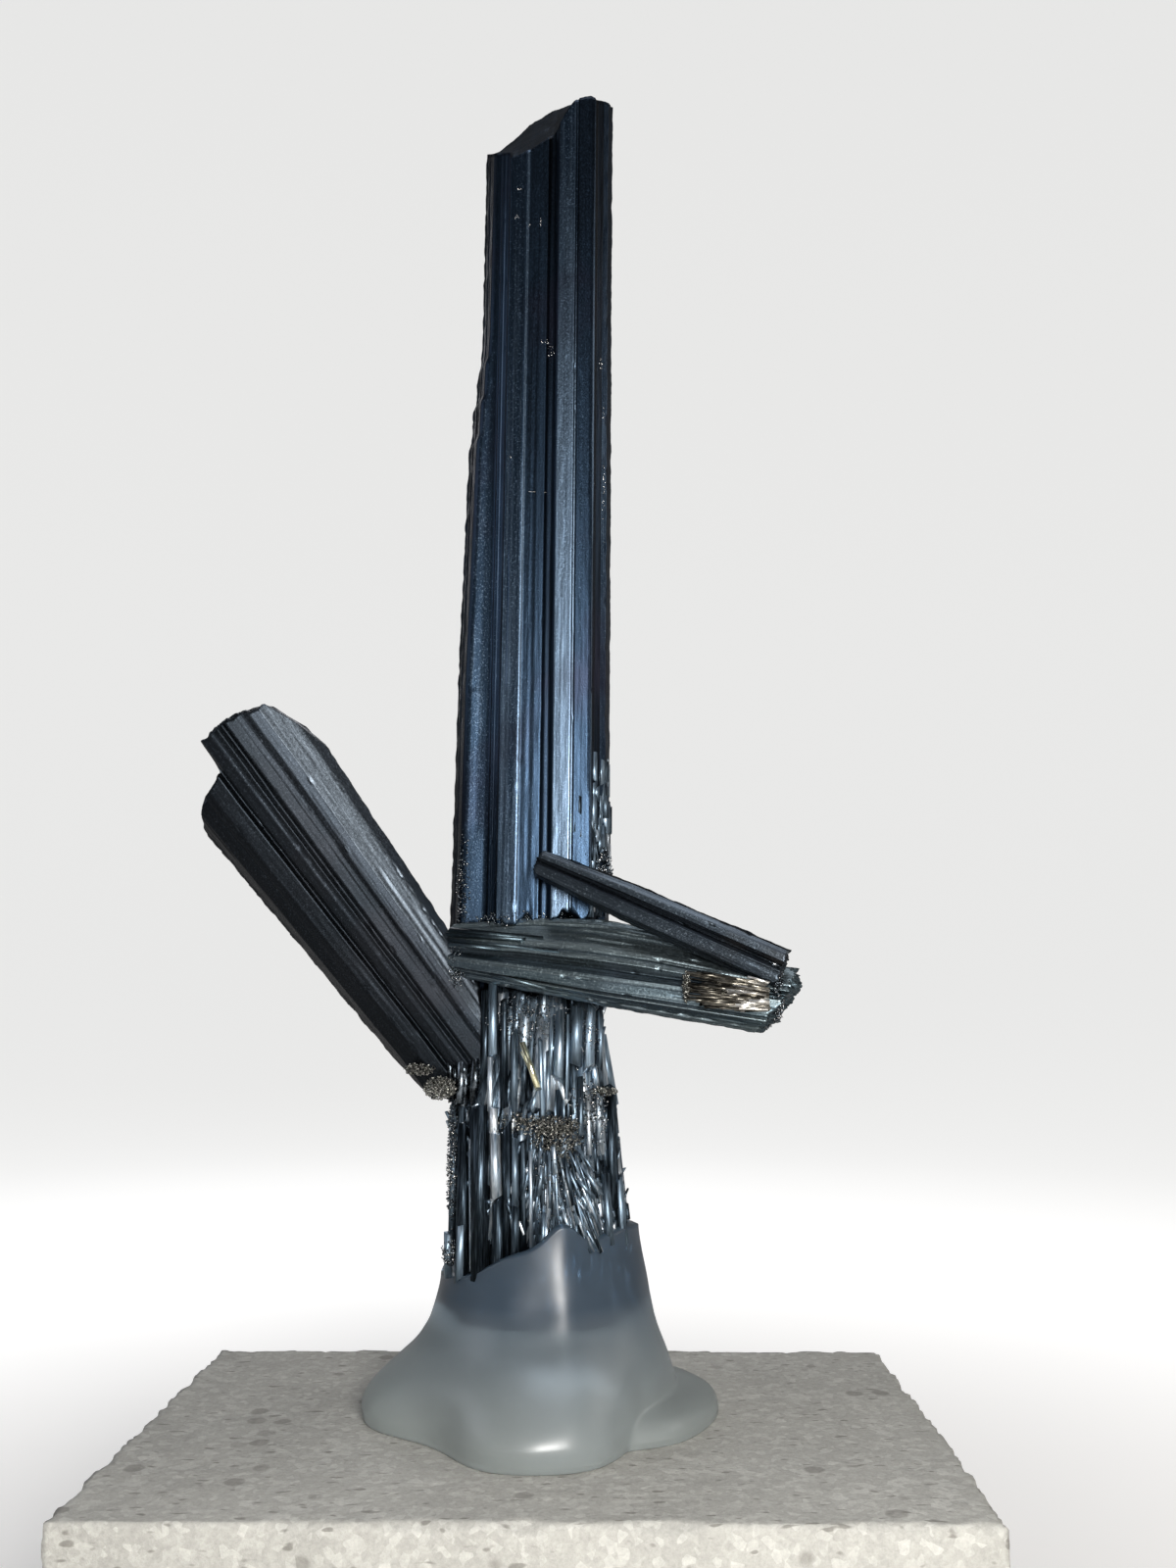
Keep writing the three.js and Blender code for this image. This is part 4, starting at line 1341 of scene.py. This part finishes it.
    def scars(self) -> Surface:
        """Small pale bruises and one hairline crack on the tall prism."""
        rng = np.random.default_rng(self.seed + 63)
        rows = np.array([
            # x, y, z, half width, half height, grains
            (-2.1, -2.72, 120.2, 0.14, 0.1, 8), (-2.25, -2.7, 117.7, 0.2, 0.16, 12),
            (-1.24, -2.72, 116.9, 0.07, 0.1, 4),
            (-0.25, -2.82, 116.8, 0.05, 0.7, 14), (0.14, -2.82, 106.3, 0.3, 0.25, 16),
            (0.7, -2.62, 105.6, 0.3, 0.5, 20),
            (-2.65, -2.62, 96.3, 0.09, 0.09, 6), (4.75, -1.75, 104.9, 0.2, 0.5, 26),
            (5.0, -1.45, 100.2, 0.1, 0.9, 20),
            (4.95, -1.45, 94.7, 0.22, 1.2, 46), (4.9, -1.5, 92.0, 0.2, 0.9, 30),
            (4.95, -1.4, 89.2, 0.12, 0.5, 12),
        ])
        row = np.repeat(rows, rows[:, 5].astype(int), axis=0)
        half = np.stack([row[:, 3], np.full(len(row), 0.04), row[:, 4]], -1)
        centres = row[:, :3] + rng.uniform(-1, 1, (len(row), 3)) * half
        grains = grain_surface(centres, rng.uniform(0.06, 0.15, len(row)), self.seed + 64)
        grains.tones = 0.75 + 0.25 * grains.tones
        crack = needle_surface(
            np.array([(-1.15, -2.78, 93.25)]), np.array([(0.28, -2.84, 93.15)]),
            np.array([0.09]), self.seed + 65, 4,
            None, np.array([1.0]),
        )
        return grains.joined(crack)

    def split_laths(self) -> Surface:
        """Thin laths that split off the left end of the lower cross prism, side by side and nearly flush."""
        rows = np.array([
            # across, back, start along, across, back, end along, width, tone
            (-1.9, -1.2, 0.1, -2.1, -1.6, 8.0, 0.5, 0.2), (-1.5, -1.6, 0.0, -1.8, -2.0, 6.5, 0.45, 0.3),
            (-1.1, -1.85, 0.2, -1.35, -2.35, 9.5, 0.35, 0.2), (-0.8, -2.0, 0.0, -0.9, -2.5, 5.0, 0.3, 0.5),
            (1.0, -2.2, 3.5, 1.6, -2.85, 9.0, 0.3, 0.6),
        ])
        axis = Crystals().lower_axis
        feet, tips = axis.to_part(rows[:, :3]), axis.to_part(rows[:, 3:6])
        return needle_surface(feet, tips, rows[:, 6], self.seed + 61, 5, None, rows[:, 7], chance=0.4)

    def foot_blocks(self) -> Surface:
        """Etched blocks on the lower right of the tall prism, larger and closer together towards its foot."""
        rng = np.random.default_rng(self.seed + 51)
        count = 260
        outline = np.array([(2.9, -2.95), (4.15, -2.4), (4.8, -1.5), (5.35, -0.9), (5.6, 0.4), (5.4, 1.8)])
        place = rng.uniform(0, 5, count) ** 0.9
        x = np.interp(place, np.arange(6), outline[:, 0]) + rng.normal(0, 0.08, count)
        y = np.interp(place, np.arange(6), outline[:, 1]) + rng.normal(0, 0.08, count)
        low = 5.6 + 11.5 * rng.beta(1.0, 1.8, count)
        reach = rng.uniform(0.5, 2.6, count)
        axis = Crystals().tall_axis
        feet = axis.to_part(np.stack([x, y, low], -1))
        tips = axis.to_part(np.stack([x, y, low + reach], -1))
        radii, tones = rng.uniform(0.25, 0.75, count), rng.beta(1.0, 1.6, count)
        return needle_surface(feet, tips, radii, self.seed + 52, 5, None, tones)

    def build(self) -> None:
        """Builds and dresses the splinters and grains."""
        bronze, pale, bright = BRONZE.material(), PALE.material(), CRUMBS.material()
        place_piece(self.bronze_fibres(), "bronze_fibre_bundle", bronze, "bronze_splinters")
        place_piece(self.pale_splinter(), "pale_splinters", pale, "bright_needle")
        for surface, name, material, slot in (
            (self.golden_druse(), "golden_druse", DRUSE.material(), Slot.BRONZE),
            (self.bright_crumbs(), "bright_crumbs", bright, Slot.NEEDLES),
            (self.foot_blocks(), "foot_blocks", NEEDLES.material(), Slot.NEEDLES),
            (self.split_laths(), "split_laths", GREY_PRISM.material(), Slot.GREY),
        ):
            piece = surface.to_object(name)
            piece.data.materials.append(material)
            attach(piece, "root")
            log.info("%s: %d faces", name, len(surface.faces))


# ---------------------------------------------------------------- resin and stone


@dataclass
class ResinMount:
    """Frosted resin: a column round the stem, which runs out into a lobed skirt and a flat puddle."""

    centre: Pair = (-0.05, 2.0)
    column: Pair = (8.25, 8.25)  # half width and half depth
    # Reach of the skirt's foot at each angle from +X, in degrees.
    skirt: Table = (
        (-180, 14.1), (-165, 13.8), (-155, 12.9), (-143, 11.6), (-130, 11.3), (-118, 12.3), (-107, 14.0),
        (-96, 14.5), (-75, 14.4), (-66, 13.4), (-58, 11.9), (-45, 10.6), (-20, 10.6), (0, 10.9),
        (40, 10.8), (80, 11.2), (120, 11.8), (150, 13.0), (180, 14.1),
    )
    puddle: Table = (
        (-180, 8), (-70, 8), (-58, 11.0), (-36, 12.9), (-18, 13.4), (3, 14.2), (15, 14.7), (35, 14.2),
        (60, 11), (80, 8), (180, 8),
    )
    rim: Table = (
        (-180, 30.6), (-150, 30.9), (-128, 31.4), (-120, 32.0), (-105, 33.0), (-95, 33.3), (-84, 34.2),
        (-78, 35.4),
        (-72, 35.2), (-60, 33.9), (-30, 34.5), (0, 34.2), (60, 33.4), (120, 32.6), (180, 30.6),
    )
    # How far the skirt is open at each share of the height, and the same for the puddle.
    skirt_profile: Table = (
        (0, 0.91), (0.03, 0.975), (0.07, 1.0), (0.17, 0.965), (0.32, 0.75), (0.49, 0.35), (0.67, 0.09),
        (0.8, 0.0), (1, -0.05),
    )
    puddle_profile: Table = (
        (0, 0.95), (0.03, 1.0), (0.08, 0.95), (0.13, 0.8), (0.17, 0.5), (0.2, 0.0), (1, -0.3),
    )

    def smooth_round(self, table: Table, degrees: Array, reach: float = 7.0) -> Array:
        """Reads a table round the circle and evens it over some degrees, so that it has no corners."""
        window = np.linspace(-reach, reach, 31)
        turned = (degrees[..., None] + window + 180) % 360 - 180
        weights = np.cos(np.radians(window / reach * 80))
        return (read_table(table, turned) * weights).sum(-1) / weights.sum()

    def smooth_up(self, table: Table, share: Array) -> Array:
        """Reads a profile and evens it over a little of the height."""
        window = np.linspace(-0.06, 0.06, 9)
        return read_table(table, np.clip(share[..., None] + window, 0, 1)).mean(-1)

    def surface(self) -> Surface:
        """The closed skin: rings whose reach is the larger of the skirt's and the puddle's, softly joined.

        The joining is a smooth maximum: (a + b + sqrt((a - b)^2 + k^2)) / 2.
        """
        columns, rows, top_rings = 300, 110, 16
        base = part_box("stone_block")[1].z / MM + 0.02
        angle = np.linspace(-np.pi, np.pi, columns, endpoint=False)
        share = np.linspace(0, 1, rows)[:, None]
        degrees = np.degrees(angle)[None, :]
        column = 1 / np.hypot(np.cos(angle) / self.column[0], np.sin(angle) / self.column[1])
        column = column * (1 - 0.045 * smooth_step(0.7, 1.0, share))
        lobed, even = self.smooth_round(self.skirt, degrees, 9.0), self.smooth_round(self.skirt, degrees, 60.0)
        rising = smooth_step(0.1, 0.5, share)
        foot = lobed + (even - lobed) * rising
        skirt = column + (foot - column) * self.smooth_up(self.skirt_profile, share)
        past_column = self.smooth_round(self.puddle, degrees) - column
        puddle = column + past_column * self.smooth_up(self.puddle_profile, share)
        reach = 0.5 * (skirt + puddle + np.sqrt((skirt - puddle) ** 2 + 0.05))
        rim = self.smooth_round(self.rim, degrees)
        heights = base + (rim - base) * share
        x = self.centre[0] + reach * np.cos(angle)
        y = self.centre[1] + reach * np.sin(angle)
        skin_places = np.stack([x.ravel(), y.ravel(), heights.ravel()], -1)
        soft = fractal_noise(skin_places, 5.0, 5, 2).reshape(reach.shape)
        swell = 1 + 0.012 * soft * (share > 0.02)
        x = self.centre[0] + (x - self.centre[0]) * swell
        y = self.centre[1] + (y - self.centre[1]) * swell
        side = np.stack([x, y, heights], -1).reshape(-1, 3)
        inwards = (1 - np.arange(1, top_rings + 1) / (top_rings + 1))[:, None]
        roll = 0.25 * np.sin(np.pi * np.clip((1 - inwards) * 6, 0, 1))
        top_x = self.centre[0] + (x[-1] - self.centre[0]) * inwards
        top_y = self.centre[1] + (y[-1] - self.centre[1]) * inwards
        top_z = rim + roll - 0.4 * (1 - inwards)
        top = np.stack([top_x, top_y, top_z], -1).reshape(-1, 3)
        ends = np.array([[*self.centre, base], [*self.centre, float(rim.mean())]])
        total = rows * columns + top_rings * columns
        ring = np.arange(columns)
        faces = np.concatenate([
            ring_faces(rows + top_rings, columns),
            fan_faces(ring, total, False),
            fan_faces(ring + total - columns, total + 1, True),
        ])
        corners = np.concatenate([side, top, ends])
        return Surface(corners, faces, np.full(len(faces), 0.5), None)

    def build(self) -> None:
        """Builds and dresses the resin, smooth-shaded."""
        material = FrostedResinFinish().material()
        piece = place_piece(self.surface(), "resin_blob", material, "resin_mount")
        piece.data.shade_smooth()


@dataclass
class StoneBlock:
    """The sawn stone block: six flat faces with crumbled edges and a sandy skin."""

    spacing: float = 0.42
    edge_crumble: float = 0.75
    seed: int = 91

    def surface(self) -> Surface:
        """The closed skin: a box on a fine grid, its corners pulled in near the edges by rough noise.

        Near an edge, a corner moves inwards by the crumble depth, times noise, times how near it is.
        """
        low, high = (np.array(corner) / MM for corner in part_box("stone_block"))
        size = high - low
        steps = np.maximum(2, np.round(size / self.spacing)).astype(int)
        parts, faces, total = [], [], 0
        for axis in range(3):
            u_axis, v_axis = (axis + 1) % 3, (axis + 2) % 3
            u, v = np.meshgrid(
                np.linspace(0, 1, steps[u_axis] + 1), np.linspace(0, 1, steps[v_axis] + 1), indexing="ij"
            )
            nu, nv = u.shape
            index = np.arange(nu * nv).reshape(nu, nv)
            cell_corners = [index[:-1, :-1], index[1:, :-1], index[1:, 1:], index[:-1, 1:]]
            quads = np.stack(cell_corners, -1).reshape(-1, 4)
            for end in (0, 1):
                corner = np.zeros((nu * nv, 3))
                corner[:, axis] = end
                corner[:, u_axis] = u.ravel()
                corner[:, v_axis] = v.ravel()
                parts.append(low + corner * size)
                faces.append((quads if end else quads[:, ::-1]) + total)
                total += nu * nv
        corners = self.crumbled(np.concatenate(parts), low, high)
        rounded = np.round(corners / 1e-4).astype(np.int64)
        _, first, back = np.unique(rounded, axis=0, return_index=True, return_inverse=True)
        faces = back.reshape(-1)[np.concatenate(faces)]
        return Surface(corners[first], faces, np.full(len(faces), 0.5), None)

    def crumbled(self, corners: Array, low: Array, high: Array) -> Array:
        """Moves edge corners in and gives the sawn faces a fine unevenness. The underside stays flat."""
        centre = (low + high) / 2
        gap = np.minimum(corners - low, high - corners)
        near = np.sort(gap, axis=1)
        edge_distance = near[:, 1]
        rough = fractal_noise(corners, 2.4, self.seed, 4)
        bite = np.clip(0.3 + 0.9 * rough, 0, 1.6) * self.edge_crumble
        pull = np.clip(1 - edge_distance / np.maximum(bite, 1e-3), 0, 1) * bite * 0.55
        inwards = np.where(gap < self.edge_crumble * 1.6, np.sign(centre - corners), 0)
        moved = corners + inwards * pull[:, None]
        sand = 0.035 * (fractal_noise(corners, 0.9, self.seed + 5, 2) - 1)
        on_face = gap < 1e-6
        moved += on_face * np.sign(centre - corners) * -sand[:, None]
        moved[:, 2] = np.where(corners[:, 2] < low[2] + 1e-6, low[2], moved[:, 2])
        return moved

    def build(self) -> None:
        """Builds and dresses the block."""
        material = CompositeStoneFinish().material()
        place_piece(self.surface(), "stone_offcut", material, "stone_block")


# ---------------------------------------------------------------- studio


@dataclass
class Studio:
    """Pale closed cove, soft lights and the camera."""

    floor_radius: float = 330.0
    cove_radius: float = 220.0
    wall_height: float = 620.0
    glow: float = 0.83  # brightness of the far wall where it is looked at
    spill: float = 0.2  # brightness of the far wall as a light on the object
    camera_at: Point = (4.667, -111.089, 52.855)
    camera_pitch: float = 8.411  # degrees above level
    camera_turn: float = 0.486  # degrees to the left of +Y
    lens: float = 31.5

    def cove(self) -> None:
        """A round floor that curves up into a wall and a dome, as a surface of revolution."""
        columns = 128
        bend = np.linspace(0, np.pi / 2, 20)
        outer = self.floor_radius + self.cove_radius
        radii = np.concatenate([
            [20.0, 90.0, 200.0],
            self.floor_radius + self.cove_radius * np.sin(bend),
            [outer],
            outer * np.cos(bend[1:-1]),
        ])
        heights = np.concatenate([
            [0.0, 0.0, 0.0], self.cove_radius * (1 - np.cos(bend)), [self.wall_height],
            self.wall_height + 0.6 * outer * np.sin(bend[1:-1]),
        ])
        angle = np.linspace(0, 2 * np.pi, columns, endpoint=False)
        across = radii[:, None]
        levels = np.repeat(heights[:, None], columns, 1)
        rings = np.stack([across * np.cos(angle), across * np.sin(angle), levels], -1)
        ends = [[0.0, 0.0, 0.0], [0.0, 0.0, self.wall_height + 0.6 * outer]]
        corners = np.concatenate([rings.reshape(-1, 3), ends])
        total = len(radii) * columns
        ring = np.arange(columns)
        faces = np.concatenate([
            ring_faces(len(radii), columns)[:, ::-1],
            fan_faces(ring, total, True),
            fan_faces(ring + total - columns, total + 1, False),
        ])
        cove = Surface(corners, faces, np.full(len(faces), 0.5), None).to_object("studio_cove")
        cove.data.shade_smooth()
        material, tree, shader = blank_material("matt_paper_white")
        body = add_node(tree, "TexCoord", output="Object")
        reach = add_node(tree, "VectorMath", (body,), "Value", operation="LENGTH")
        far = add_node(tree, "MapRange", (reach, 0.09, 0.5, 0.0, 1.0), interpolation_type="SMOOTHSTEP")
        looked_at = add_node(tree, "LightPath", output="Is Camera Ray")
        wall = add_node(tree, "MapRange", (reach, 0.05, 0.16, 0.2, self.glow))
        seen = add_node(tree, "Math", (looked_at, wall), operation="MULTIPLY")
        unseen = add_node(tree, "Math", (1.0, looked_at), operation="SUBTRACT")
        rise = add_node(tree, "SeparateXYZ", (body,), "Z")
        dimming = add_node(tree, "MapRange", (rise, 0.1, 0.42, 1.0, 0.2))
        spill = add_node(tree, "MapRange", (reach, 0.09, 0.4, 0.0, self.spill))
        dimmed = add_node(tree, "Math", (unseen, dimming), operation="MULTIPLY")
        thrown = add_node(tree, "Math", (dimmed, spill), operation="MULTIPLY")
        paper = {0: far, 6: linear("#e4e2df"), 7: linear("#5c5c5c")}
        dress_shader(tree, shader, {
            "Emission Strength": add_node(tree, "Math", (seen, thrown), operation="ADD"),
            "Emission Color": linear("#f8f8f7"),
            "Base Color": add_node(tree, "Mix", paper, 2, data_type="RGBA"),
            "Roughness": 0.9,
        })
        material.cycles.emission_sampling = "NONE"
        cove.data.materials.append(material)

    def light(self, name: str, place: Point, target: Point, size: float, power: float, colour: str) -> None:
        """A square soft light that looks at a target and doesn't show itself.

        Args:
            name: Its name.
            place: Where it stands, in millimetres.
            target: What it looks at.
            size: Its side, in millimetres.
            power: Watts.
            colour: Its sRGB colour.
        """
        lamp = bpy.data.lights.new(name, "AREA")
        lamp.shape = "SQUARE"
        lamp.size = size * MM
        lamp.energy = power
        lamp.color = linear(colour)[:3]
        holder = bpy.data.objects.new(name, lamp)
        bpy.context.scene.collection.objects.link(holder)
        holder.location = Vector(place) * MM
        holder.rotation_euler = (Vector(target) - Vector(place)).to_track_quat("-Z", "Y").to_euler()
        holder.visible_camera = False

    def build(self) -> None:
        """Sets the cove, the lights and the camera."""
        self.cove()
        self.light("key_by_the_lens", (28, -140, 70), (0, 0, 56), 50, 0.34, "#fffdfa")
        self.light("overhead", (40, -40, 430), (0, 10, 40), 240, 0.3, "#f6f8ff")
        self.light("left_fill", (-300, -60, 200), (0, 0, 60), 160, 0.14, "#eef3ff")
        self.light("right_fill", (300, 40, 200), (0, 0, 60), 160, 0.14, "#fffaf4")
        self.light("back_fill", (-80, 300, 220), (0, 0, 60), 180, 0.2, "#f6f8ff")
        lens = bpy.data.cameras.new("camera")
        lens.lens = self.lens
        lens.sensor_width = 36.0
        lens.clip_start = 0.005
        lens.clip_end = 10.0
        camera = bpy.data.objects.new("camera", lens)
        bpy.context.scene.collection.objects.link(camera)
        camera.location = Vector(self.camera_at) * MM
        turn = Euler((math.radians(90 + self.camera_pitch), 0, math.radians(self.camera_turn)))
        camera.rotation_euler = turn
        bpy.context.scene.camera = camera
        bpy.context.scene.view_settings.view_transform = "Standard"


def main() -> None:
    """Builds the studio, then every piece from the block upwards."""
    logging.basicConfig(level=logging.INFO, format="%(name)s: %(message)s")
    Studio().build()
    StoneBlock().build()
    ResinMount().build()
    NeedleStem().build()
    Crystals().build()
    BrokenPieces().build()


if __name__ == "__main__":
    main()
